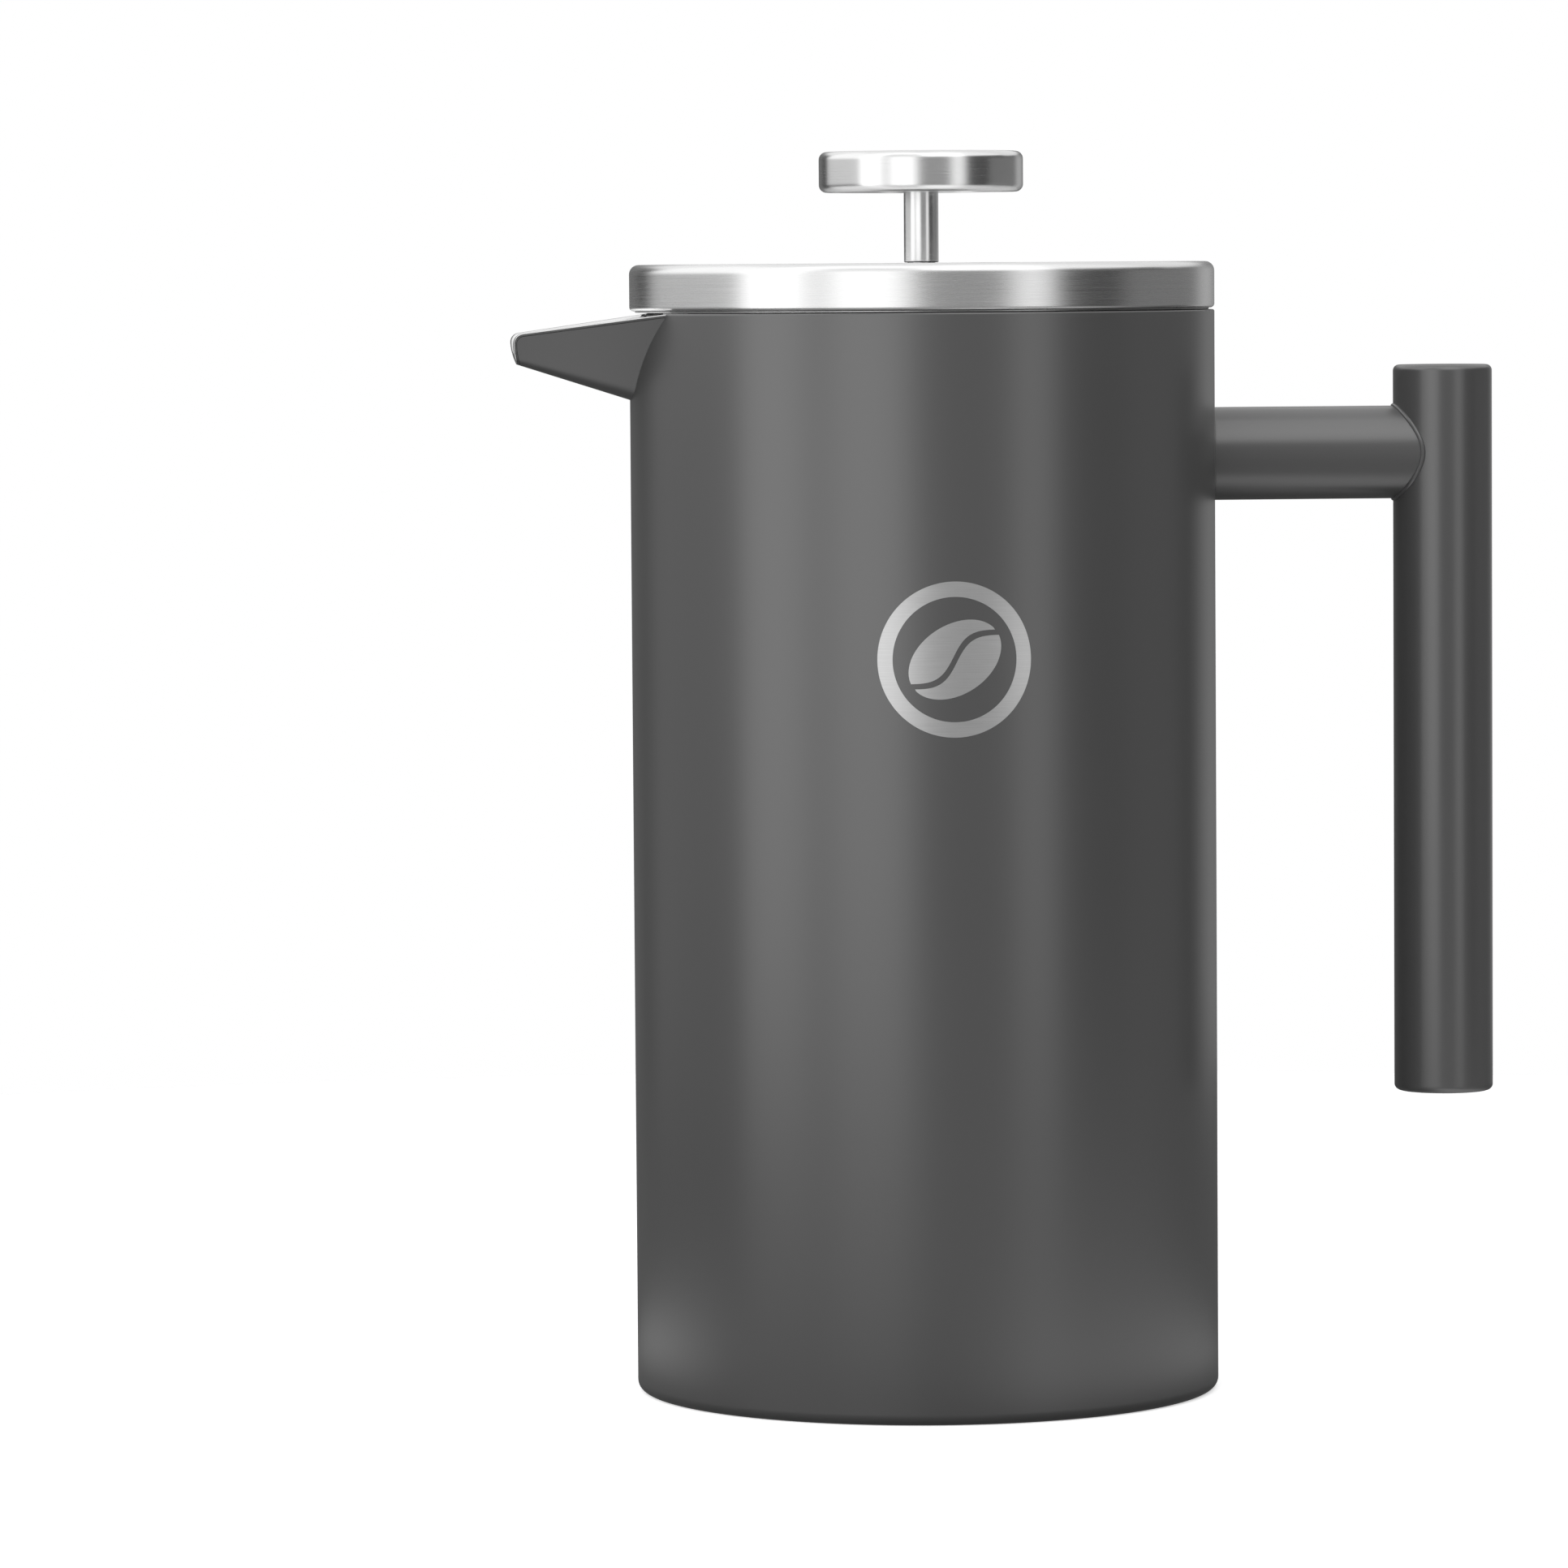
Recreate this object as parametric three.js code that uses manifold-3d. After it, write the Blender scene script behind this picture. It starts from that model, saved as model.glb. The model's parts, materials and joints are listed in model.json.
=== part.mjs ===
// Double-walled stainless steel french press, about one litre.
//
// Frame: millimetres, +Z up. The origin is the centre of the base, on the table, on the axis that the pot,
// the lid and the plunger share. The handle points along +X and the spout along -X.
//
// Three assemblies share the axis. The pot stands on the table, the lid rests on the pot's rim, and the plunger
// runs through a guide bush in the middle of the lid and is modelled fully pressed.

import * as THREE from "three";
import { mergeVertices } from "three/addons/utils/BufferGeometryUtils.js";
import { ConvexGeometry } from "three/addons/geometries/ConvexGeometry.js";
import Module from "manifold-3d";

// ---------------------------------------------------------------- driving dimensions

const GAP = 0.3; // between pieces that touch or are welded together
const SHEET = 0.8; // thickness of the pressed steel sheet
const RIM_Z = 196.1; // height of the pot's rim

const POT_RADIUS = 53;
const POT_FOOT_FILLET = 1.8;
const FOOT_FLANGE_RADIUS = 48; // where the shell's turned-in foot ends

const VESSEL_RADIUS = 48.2; // outside of the inner wall
const VESSEL_FLOOR_Z = 6.2; // underside of the inner floor
const VESSEL_FLOOR_FILLET = 6;

const LID_TOP_Z = 204.8;
const LID_TOP_FILLET = 1.7;
const SKIRT_RADIUS = 46.9; // outside of the strainer skirt that drops into the pot
const SKIRT_BOTTOM_Z = 184.5;
const SKIRT_SLOTS = 13;
const SKIRT_SLOT = { width: 2, height: 8, pitchDegrees: 4.6 };

const GUIDE_BORE = 2.7;
const GUIDE_STEM_RADIUS = 5;
const GUIDE_HEAD_RADIUS = 4;
const GUIDE_FLANGE_RADIUS = 8;
const GUIDE_NUT_RADIUS = 7.5;

const ROD_RADIUS = 2.5;
const ROD_HOLE = ROD_RADIUS + GAP; // clearance hole for the rod in every piece threaded on it
const ROD_BOTTOM_Z = 9.6;
const NECK_RADIUS = 3.13;
const KNOB_RADIUS = 18.5;
const KNOB_FILLET = 1.4;
const KNOB_BOTTOM_Z = 217.6;
const KNOB_TOP_Z = 224.95;

const FILTER_RADIUS = 46.6; // the fine screens
const SPRING_WIRE_RADIUS = 1.5; // outside radius of the coil that runs round the spring plate
const SPRING_RING_RADIUS = 45.3;
const PLATE_RADIUS = 43.4;

const ARM_HALF_HEIGHT = 8.45; // the arm is a slightly flattened tube
const ARM_HALF_DEPTH = 7.6;
const ARM_Z = 169.8;
const BAR_RADIUS = 9;
const BAR_X = 95.4; // axis of the vertical grip bar
const BAR_BOTTOM_Z = 52.9;
const BAR_TOP_Z = 185.7;
const BAR_FILLET = 1.1;
const HANDLE_WALL = 1.2;

// The spout is a rounded V trough. Its section at a distance from the pot's axis is two straight sides at one
// angle, tangent to a round keel. Both the keel's radius and its centre height change evenly along the spout.
const SPOUT = {
  sideAngle: THREE.MathUtils.degToRad(46.8), // of each side, from the vertical
  root: { at: 53, keelRadius: 10.2, centreZ: 190.6 },
  tip: { at: 74.8, keelRadius: 4.7, centreZ: 192.1 },
  rimAt: 48.5, // where the rim is at rimZ, and from where it falls towards the tip
  rimZ: 195.9,
  rimFall: 0.12, // mm down per mm out
};

const AROUND = 40; // flat sides of the wide round pieces
const AROUND_SMALL = 20; // and of the slim ones
const ARC_STEPS = 2; // straight steps in a fillet

// ---------------------------------------------------------------- materials

const metal = (name, color, roughness, metalness = 1) =>
  new THREE.MeshStandardMaterial({ name, color, roughness, metalness });

const PAINT = metal("graphite_paint", 0x5f5f60, 0.5, 0);
const BRUSHED = metal("brushed_steel", 0xc4c4c2, 0.3);
const INNER_STEEL = metal("satin_steel", 0xb8b8b6, 0.38);
const MESH_STEEL = metal("screen_steel", 0xa9a9a6, 0.5);
const SPRING_STEEL = metal("spring_steel", 0xcfcfcb, 0.2);
const NYLON = metal("black_nylon", 0x1c1c1d, 0.55, 0);

// ---------------------------------------------------------------- solids

const wasm = await Module();
wasm.setup();

/** A closed geometry as a manifold solid. */
function solidOf(geometry) {
  const bare = geometry.clone();
  for (const name of Object.keys(bare.attributes)) {
    if (name !== "position") bare.deleteAttribute(name);
  }
  const merged = mergeVertices(bare, 1e-4);
  return new wasm.Manifold(
    new wasm.Mesh({
      numProp: 3,
      vertProperties: new Float32Array(merged.attributes.position.array),
      triVerts: new Uint32Array(merged.index.array),
    }),
  );
}

/** A manifold solid as a geometry with flat faces. */
function geometryOf(solid) {
  const mesh = solid.getMesh();
  const geometry = new THREE.BufferGeometry();
  geometry.setAttribute("position", new THREE.BufferAttribute(mesh.vertProperties, 3));
  geometry.setIndex(new THREE.BufferAttribute(mesh.triVerts, 1));
  geometry.computeVertexNormals();
  return geometry;
}

/** The first geometry with all the others cut out of it. */
function cut(geometry, ...tools) {
  let solid = solidOf(geometry);
  for (const tool of tools) {
    solid = solid.subtract(solidOf(tool));
  }
  return geometryOf(solid);
}

/** The part of a geometry that lies inside another. */
function common(geometry, other) {
  return geometryOf(solidOf(geometry).intersect(solidOf(other)));
}

// ---------------------------------------------------------------- shapes

/** A corner of an outline rounded to a radius: the points of an arc that is tangent to both of its sides. */
function roundedCorner(before, corner, after, radius) {
  const toBefore = before.clone().sub(corner).normalize();
  const toAfter = after.clone().sub(corner).normalize();
  const half = Math.acos(THREE.MathUtils.clamp(toBefore.dot(toAfter), -1, 1)) / 2;
  const centre = toBefore
    .clone()
    .add(toAfter)
    .normalize()
    .multiplyScalar(radius / Math.sin(half))
    .add(corner);
  const start = toBefore.multiplyScalar(radius / Math.tan(half)).add(corner);
  const end = toAfter.multiplyScalar(radius / Math.tan(half)).add(corner);
  const from = start.clone().sub(centre).angle();
  const turn = end.clone().sub(centre).angle() - from;
  const sweep = turn - 2 * Math.PI * Math.round(turn / (2 * Math.PI));
  return Array.from({ length: ARC_STEPS + 1 }, (_, i) => {
    const angle = from + (sweep * i) / ARC_STEPS;
    return new THREE.Vector2(Math.cos(angle), Math.sin(angle)).multiplyScalar(radius).add(centre);
  });
}

/** Outline points from corners written as [radius, height] or [radius, height, fillet]. */
function outline(corners) {
  const points = corners.map(([radius, z]) => new THREE.Vector2(radius, z));
  const last = corners.length - 1;
  return corners.flatMap(([, , fillet], i) => {
    if (!fillet) return [points[i]];
    return roundedCorner(points[i === 0 ? last : i - 1], points[i], points[i === last ? 0 : i + 1], fillet);
  });
}

/** Turns an outline round the Z axis. Its corners run anticlockwise, with radius to the right and height up. */
function turned(corners, around = AROUND) {
  const points = outline(corners);
  const onAxis = points[0].x === 0 && points[points.length - 1].x === 0;
  const profile = onAxis ? points : [...points, points[0].clone()];
  return new THREE.LatheGeometry(profile, around).rotateX(Math.PI / 2);
}

/** A round bar or disc about the Z axis. */
function disc(radius, bottom, top, around = AROUND) {
  return turned([[0, bottom], [radius, bottom], [radius, top], [0, top]], around);
}

/** A tube or washer about the Z axis. */
function ring(inner, outer, bottom, top, around = AROUND) {
  return turned([[inner, bottom], [outer, bottom], [outer, top], [inner, top]], around);
}

/** An oval bar along X between two distances from the pot's axis. */
function crossBar(halfDepth, halfHeight, from, to, z, around = AROUND_SMALL + 8) {
  return new THREE.CylinderGeometry(halfHeight, halfHeight, to - from, around)
    .rotateZ(Math.PI / 2)
    .scale(1, halfDepth / halfHeight, 1)
    .translate((from + to) / 2, 0, z);
}

/** Copies of a tool set evenly on a circle about the Z axis. */
function spaced(count, radius, makeTool, startAngle = 0) {
  return Array.from({ length: count }, (_, i) => {
    const angle = startAngle + (2 * Math.PI * i) / count;
    return makeTool().translate(radius * Math.cos(angle), radius * Math.sin(angle), 0);
  });
}

// ---------------------------------------------------------------- spout

/** Half of the V section, from the keel up to a given height, as [half width, height] pairs. */
function spoutSide(keelRadius, centreZ, topZ) {
  const steps = 4;
  const side = SPOUT.sideAngle;
  const points = Array.from({ length: steps + 1 }, (_, i) => {
    const angle = (Math.PI / 2 - side) * (i / steps);
    return [keelRadius * Math.sin(angle), centreZ - keelRadius * Math.cos(angle)];
  });
  const apexZ = centreZ - keelRadius / Math.sin(side);
  points.push([(topZ - apexZ) * Math.tan(side), topZ]);
  return points;
}

/** The solid inside the spout's V, shrunk all over by inset, between two distances from the axis. */
function spoutWedge(inset, from, to, raise = 0) {
  const { root, tip, rimAt, rimZ, rimFall } = SPOUT;
  const points = [from, to].flatMap((at) => {
    const along = (at - root.at) / (tip.at - root.at);
    const keelRadius = THREE.MathUtils.lerp(root.keelRadius, tip.keelRadius, along) - inset;
    const centreZ = THREE.MathUtils.lerp(root.centreZ, tip.centreZ, along);
    const topZ = rimZ - (at - rimAt) * rimFall + raise;
    return spoutSide(keelRadius, centreZ, topZ).flatMap(([halfWidth, z]) => [
      new THREE.Vector3(-at, halfWidth, z),
      new THREE.Vector3(-at, -halfWidth, z),
    ]);
  });
  return new ConvexGeometry(points);
}

const SPOUT_INNER_END = 40; // well inside the vessel, where the wedges start
const SPOUT_OPEN = 6; // how far a cutting wedge stands above the rim, so that the trough is open
const SHELL_TIP = 74.1; // the painted outside stops short of the bare steel lip
const LINER_TIP = SPOUT.tip.at + 0.1;
const LINER_INSET = SHEET + GAP;
const LINER_WALL = 0.7;
const NOTCH_INSET = SHEET; // the notches in both walls leave the liner its gap

const spoutNotch = () => spoutWedge(NOTCH_INSET, SPOUT_INNER_END, POT_RADIUS + 5, SPOUT_OPEN);

function spoutShell() {
  const lipDrop = -0.5; // the painted hem ends below the liner's bright lip
  return cut(
    spoutWedge(0, SPOUT_INNER_END, SHELL_TIP, lipDrop),
    spoutWedge(SHEET, SPOUT_INNER_END - 1, SHELL_TIP + 1, SPOUT_OPEN),
    disc(POT_RADIUS + GAP, 150, RIM_Z + 10),
  );
}

function spoutLiner() {
  return cut(
    spoutWedge(LINER_INSET, SPOUT_INNER_END, LINER_TIP),
    spoutWedge(LINER_INSET + LINER_WALL, SPOUT_INNER_END - 1, LINER_TIP + 1, SPOUT_OPEN),
    disc(VESSEL_RADIUS - SHEET + 0.2, 150, RIM_Z + 10),
    disc(POT_RADIUS + 1, RIM_Z, RIM_Z + 10),
  );
}

// ---------------------------------------------------------------- pot

function outerShell() {
  const inside = POT_RADIUS - SHEET;
  const wall = turned([
    [FOOT_FLANGE_RADIUS, 0],
    [POT_RADIUS, 0, POT_FOOT_FILLET],
    [POT_RADIUS, RIM_Z],
    [inside, RIM_Z],
    [inside, SHEET, POT_FOOT_FILLET - SHEET],
    [FOOT_FLANGE_RADIUS, SHEET],
  ]);
  return cut(wall, spoutNotch());
}

function innerVessel() {
  const inside = VESSEL_RADIUS - SHEET;
  const floorTop = VESSEL_FLOOR_Z + SHEET;
  const flangeRadius = POT_RADIUS - SHEET - GAP;
  const wall = turned([
    [0, VESSEL_FLOOR_Z],
    [VESSEL_RADIUS, VESSEL_FLOOR_Z, VESSEL_FLOOR_FILLET],
    [VESSEL_RADIUS, RIM_Z - SHEET],
    [flangeRadius, RIM_Z - SHEET],
    [flangeRadius, RIM_Z],
    [inside, RIM_Z],
    [inside, floorTop, VESSEL_FLOOR_FILLET - SHEET],
    [0, floorTop],
  ]);
  return cut(wall, spoutNotch());
}

const basePlate = () => disc(FOOT_FLANGE_RADIUS - GAP, 0, SHEET);

// ---------------------------------------------------------------- handle

/** The horizontal tube, cut to fit round the pot at one end and round the grip bar at the other. */
function handleArm() {
  return cut(
    crossBar(ARM_HALF_DEPTH, ARM_HALF_HEIGHT, POT_RADIUS - 5, BAR_X, ARM_Z),
    crossBar(ARM_HALF_DEPTH - HANDLE_WALL, ARM_HALF_HEIGHT - HANDLE_WALL, POT_RADIUS - 6, BAR_X + 1, ARM_Z),
    disc(POT_RADIUS + GAP, ARM_Z - 20, ARM_Z + 20),
    disc(BAR_RADIUS + GAP, ARM_Z - 20, ARM_Z + 20, AROUND_SMALL + 8).translate(BAR_X, 0, 0),
  );
}

const CAP_HEIGHT = 2; // of the end cap's visible disc
const CAP_SPIGOT = 4; // how far it plugs into the tube

function handleBar() {
  const tube = ring(
    BAR_RADIUS - HANDLE_WALL,
    BAR_RADIUS,
    BAR_BOTTOM_Z + CAP_HEIGHT + GAP,
    BAR_TOP_Z - CAP_HEIGHT - GAP,
    AROUND_SMALL + 8,
  );
  return tube.translate(BAR_X, 0, 0);
}

/** An end cap of the grip bar, with its rounded face up at z = 0. */
function handleCap() {
  const spigotRadius = BAR_RADIUS - HANDLE_WALL - GAP;
  return turned(
    [
      [0, -CAP_HEIGHT - CAP_SPIGOT],
      [spigotRadius, -CAP_HEIGHT - CAP_SPIGOT],
      [spigotRadius, -CAP_HEIGHT],
      [BAR_RADIUS, -CAP_HEIGHT],
      [BAR_RADIUS, 0, BAR_FILLET],
      [0, 0],
    ],
    AROUND_SMALL + 8,
  );
}

// ---------------------------------------------------------------- lid

const LID_BOTTOM_Z = RIM_Z + GAP + 0.05;
const LINER_TOP_Z = RIM_Z + GAP + SHEET;

function lidCap() {
  const inside = POT_RADIUS - SHEET;
  const holeRadius = GUIDE_HEAD_RADIUS + GAP;
  return turned([
    [POT_RADIUS, LID_BOTTOM_Z],
    [POT_RADIUS, LID_TOP_Z, LID_TOP_FILLET],
    [holeRadius, LID_TOP_Z],
    [holeRadius, LID_TOP_Z - SHEET],
    [inside, LID_TOP_Z - SHEET, LID_TOP_FILLET - SHEET],
    [inside, LID_BOTTOM_Z],
  ]);
}

/** The lid's underside: a plate that rests on the rim, and a skirt with pouring slots on the spout's side. */
function lidLiner() {
  const bottom = RIM_Z + GAP;
  const plateRadius = POT_RADIUS - SHEET - GAP;
  const skirtInside = SKIRT_RADIUS - SHEET;
  const plate = turned([
    [GUIDE_STEM_RADIUS + GAP, bottom],
    [skirtInside, bottom],
    [skirtInside, SKIRT_BOTTOM_Z],
    [SKIRT_RADIUS, SKIRT_BOTTOM_Z],
    [SKIRT_RADIUS, bottom],
    [plateRadius, bottom],
    [plateRadius, LINER_TOP_Z],
    [GUIDE_STEM_RADIUS + GAP, LINER_TOP_Z],
  ]);
  const slots = Array.from({ length: SKIRT_SLOTS }, (_, i) => {
    const fromMiddle = i - (SKIRT_SLOTS - 1) / 2;
    return new THREE.BoxGeometry(8, SKIRT_SLOT.width, SKIRT_SLOT.height)
      .translate(-SKIRT_RADIUS, 0, (SKIRT_BOTTOM_Z + RIM_Z) / 2)
      .rotateZ(THREE.MathUtils.degToRad(fromMiddle * SKIRT_SLOT.pitchDegrees));
  });
  return cut(plate, ...slots);
}

const GUIDE_BOTTOM_Z = 190;

function rodGuide() {
  const flangeTop = LID_TOP_Z - SHEET - GAP;
  const shoulderZ = LINER_TOP_Z + GAP;
  return turned(
    [
      [GUIDE_BORE, GUIDE_BOTTOM_Z],
      [GUIDE_STEM_RADIUS, GUIDE_BOTTOM_Z],
      [GUIDE_STEM_RADIUS, shoulderZ],
      [GUIDE_STEM_RADIUS + 1, shoulderZ],
      [GUIDE_STEM_RADIUS + 1, flangeTop - 1],
      [GUIDE_FLANGE_RADIUS, flangeTop - 1],
      [GUIDE_FLANGE_RADIUS, flangeTop],
      [GUIDE_HEAD_RADIUS, flangeTop],
      [GUIDE_HEAD_RADIUS, LID_TOP_Z],
      [GUIDE_BORE, LID_TOP_Z],
    ],
    AROUND_SMALL,
  );
}

const WASHER = { radius: 9, top: RIM_Z, thickness: 0.7 };
const GUIDE_NUT = { top: WASHER.top - WASHER.thickness - GAP, height: 3.5 };

const guideWasher = () =>
  ring(GUIDE_STEM_RADIUS + GAP, WASHER.radius, WASHER.top - WASHER.thickness, WASHER.top, AROUND_SMALL);

/** A six-sided nut between two heights with a round hole. */
function hexNut(acrossCorners, hole, bottom, top) {
  const hexagon = new THREE.CylinderGeometry(acrossCorners, acrossCorners, top - bottom, 6)
    .rotateX(Math.PI / 2)
    .translate(0, 0, (bottom + top) / 2);
  return cut(hexagon, disc(hole, bottom - 1, top + 1, AROUND_SMALL));
}

const guideNut = () =>
  hexNut(GUIDE_NUT_RADIUS, GUIDE_STEM_RADIUS + GAP, GUIDE_NUT.top - GUIDE_NUT.height, GUIDE_NUT.top);

// ---------------------------------------------------------------- knob and rod

const KNOB_PLATE_Z = KNOB_BOTTOM_Z + 0.25; // the closing plate sits just inside the knob's rolled edge
const KNOB_AROUND = 32;

function knobShell() {
  const inside = KNOB_RADIUS - SHEET;
  const lipRadius = KNOB_RADIUS - 1.9;
  return turned(
    [
      [lipRadius, KNOB_BOTTOM_Z],
      [KNOB_RADIUS, KNOB_BOTTOM_Z, KNOB_FILLET],
      [KNOB_RADIUS, KNOB_TOP_Z, KNOB_FILLET],
      [0, KNOB_TOP_Z],
      [0, KNOB_TOP_Z - SHEET],
      [inside, KNOB_TOP_Z - SHEET, KNOB_FILLET - SHEET],
      [inside, KNOB_BOTTOM_Z + SHEET, KNOB_FILLET - SHEET],
      [lipRadius, KNOB_BOTTOM_Z + SHEET],
    ],
    KNOB_AROUND,
  );
}

const knobBase = () =>
  ring(ROD_HOLE, KNOB_RADIUS - 1.9 - GAP, KNOB_PLATE_Z, KNOB_PLATE_Z + SHEET, KNOB_AROUND);

const knobInsert = () =>
  ring(ROD_HOLE, 6, KNOB_PLATE_Z + SHEET + GAP, KNOB_TOP_Z - SHEET - GAP, AROUND_SMALL);

const knobNeck = () =>
  ring(ROD_HOLE, NECK_RADIUS, LID_TOP_Z + GAP, KNOB_PLATE_Z - GAP, AROUND_SMALL + 4);

const plungerRod = () => disc(ROD_RADIUS, ROD_BOTTOM_Z, KNOB_TOP_Z - SHEET - 2 * GAP, AROUND_SMALL);

// ---------------------------------------------------------------- filter stack, from the bottom up

const HUB_NUT = { bottom: 8.8, top: 12.8, radius: 7 };
const CROSS_PLATE = { bottom: HUB_NUT.top + GAP, thickness: 1, radius: 45, holes: 8, holeRadius: 8, at: 29 };
const SCREEN_THICKNESS = 0.5;
const LOWER_SCREEN_Z = CROSS_PLATE.bottom + CROSS_PLATE.thickness + GAP;
const UPPER_SCREEN_Z = LOWER_SCREEN_Z + SCREEN_THICKNESS + GAP;
const SPRING_PLATE_Z = UPPER_SCREEN_Z + SCREEN_THICKNESS + GAP;
const SPRING_PLATE = { holes: 10, holeRadius: 4.5, at: 28, lip: 2.6 };
const COLLAR = { bottom: SPRING_PLATE_Z + SHEET + GAP, height: 2.2, radius: 6.5 };

const hubNut = () => hexNut(HUB_NUT.radius, ROD_HOLE, HUB_NUT.bottom, HUB_NUT.top);

function crossPlate() {
  const { bottom, thickness, radius, holes, holeRadius, at } = CROSS_PLATE;
  const makeHole = () => disc(holeRadius, bottom - 1, bottom + thickness + 1, 14);
  return cut(ring(ROD_HOLE, radius, bottom, bottom + thickness), ...spaced(holes, at, makeHole));
}

const screen = (bottom) => ring(ROD_HOLE, FILTER_RADIUS, bottom, bottom + SCREEN_THICKNESS);

/** The top plate, with a turned-up lip that the edge spring runs round. */
function springPlate() {
  const { holes, holeRadius, at, lip } = SPRING_PLATE;
  const top = SPRING_PLATE_Z + SHEET;
  const plate = turned([
    [ROD_HOLE, SPRING_PLATE_Z],
    [PLATE_RADIUS, SPRING_PLATE_Z],
    [PLATE_RADIUS, top + lip],
    [PLATE_RADIUS - SHEET, top + lip],
    [PLATE_RADIUS - SHEET, top],
    [ROD_HOLE, top],
  ]);
  const makeHole = () => disc(holeRadius, SPRING_PLATE_Z - 1, top + 1, 12);
  return cut(plate, ...spaced(holes, at, makeHole));
}

const edgeSpring = () =>
  new THREE.TorusGeometry(SPRING_RING_RADIUS, SPRING_WIRE_RADIUS, 8, AROUND).translate(
    0,
    0,
    SPRING_PLATE_Z + SPRING_WIRE_RADIUS + GAP,
  );

const filterCollar = () =>
  ring(ROD_HOLE, COLLAR.radius, COLLAR.bottom, COLLAR.bottom + COLLAR.height, AROUND_SMALL);

// ---------------------------------------------------------------- assembly

const press = new THREE.Group();

/** Adds one named piece to an assembly. */
function add(assembly, name, geometry, material) {
  const mesh = new THREE.Mesh(geometry, material);
  mesh.name = name;
  assembly.add(mesh);
  return mesh;
}

const pot = new THREE.Group();
add(pot, "outer_shell", outerShell(), PAINT);
add(pot, "inner_vessel", innerVessel(), INNER_STEEL);
add(pot, "base_plate", basePlate(), INNER_STEEL);
add(pot, "spout_shell", spoutShell(), PAINT);
add(pot, "spout_liner", spoutLiner(), BRUSHED);
add(pot, "handle_arm", handleArm(), PAINT);
add(pot, "handle_bar", handleBar(), PAINT);
add(pot, "handle_cap_top", handleCap(), PAINT).position.set(BAR_X, 0, BAR_TOP_Z);
const bottomCap = add(pot, "handle_cap_bottom", handleCap(), PAINT);
bottomCap.position.set(BAR_X, 0, BAR_BOTTOM_Z);
bottomCap.rotation.x = Math.PI;

const lid = new THREE.Group();
add(lid, "lid_cap", lidCap(), BRUSHED);
add(lid, "lid_liner", lidLiner(), INNER_STEEL);
add(lid, "rod_guide", rodGuide(), NYLON);
add(lid, "guide_washer", guideWasher(), BRUSHED);
add(lid, "guide_nut", guideNut(), BRUSHED);

const plunger = new THREE.Group();
add(plunger, "knob_shell", knobShell(), BRUSHED);
add(plunger, "knob_base", knobBase(), BRUSHED);
add(plunger, "knob_insert", knobInsert(), INNER_STEEL);
add(plunger, "knob_neck", knobNeck(), BRUSHED);
add(plunger, "plunger_rod", plungerRod(), BRUSHED);
add(plunger, "filter_collar", filterCollar(), INNER_STEEL);
add(plunger, "spring_plate", springPlate(), INNER_STEEL);
add(plunger, "edge_spring", edgeSpring(), SPRING_STEEL);
add(plunger, "screen_upper", screen(UPPER_SCREEN_Z), MESH_STEEL);
add(plunger, "screen_lower", screen(LOWER_SCREEN_Z), MESH_STEEL);
add(plunger, "cross_plate", crossPlate(), INNER_STEEL);
add(plunger, "hub_nut", hubNut(), INNER_STEEL);

press.add(pot, lid, plunger);

export default press;
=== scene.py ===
"""A double-walled steel french press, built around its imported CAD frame.

The press's lengths are in millimetres, and MM turns them into metres where a mesh is written. The stage and
the camera are in metres. The axes are the frame's: +Z up along the pot's axis, +X towards the handle, -X
towards the spout, with the emblem on the -Y side.
"""

import json
from math import atan, atan2, copysign, cos, pi, radians, sin, sqrt, tan

import bmesh
import bpy
from mathutils import Matrix, Vector

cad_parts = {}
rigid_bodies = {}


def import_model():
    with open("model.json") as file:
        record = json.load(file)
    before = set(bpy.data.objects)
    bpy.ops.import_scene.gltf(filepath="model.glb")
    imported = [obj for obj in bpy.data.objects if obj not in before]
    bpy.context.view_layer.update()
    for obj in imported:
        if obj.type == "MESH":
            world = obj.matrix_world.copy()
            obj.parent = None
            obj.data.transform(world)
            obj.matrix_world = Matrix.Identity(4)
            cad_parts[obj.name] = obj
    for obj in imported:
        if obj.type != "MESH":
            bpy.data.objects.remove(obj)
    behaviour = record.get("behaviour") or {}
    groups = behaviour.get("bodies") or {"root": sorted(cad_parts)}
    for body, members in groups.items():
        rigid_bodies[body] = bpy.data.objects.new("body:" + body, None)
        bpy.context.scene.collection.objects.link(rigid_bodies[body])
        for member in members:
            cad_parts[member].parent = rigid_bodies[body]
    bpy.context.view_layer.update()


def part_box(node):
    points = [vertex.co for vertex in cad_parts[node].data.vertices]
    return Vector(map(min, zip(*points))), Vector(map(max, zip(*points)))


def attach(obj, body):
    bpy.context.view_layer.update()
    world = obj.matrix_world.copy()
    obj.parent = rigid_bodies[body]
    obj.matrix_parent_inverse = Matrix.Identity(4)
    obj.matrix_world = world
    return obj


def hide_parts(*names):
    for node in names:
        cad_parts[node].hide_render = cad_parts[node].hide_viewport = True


MM = 0.001

for leftover in list(bpy.data.objects):
    bpy.data.objects.remove(leftover)
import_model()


def low(node, axis):
    """Lowest coordinate of a CAD node along an axis, in millimetres."""
    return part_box(node)[0][axis] / MM


def high(node, axis):
    """Highest coordinate of a CAD node along an axis, in millimetres."""
    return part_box(node)[1][axis] / MM


X, Y, Z = range(3)

# ---- sizes

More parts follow.
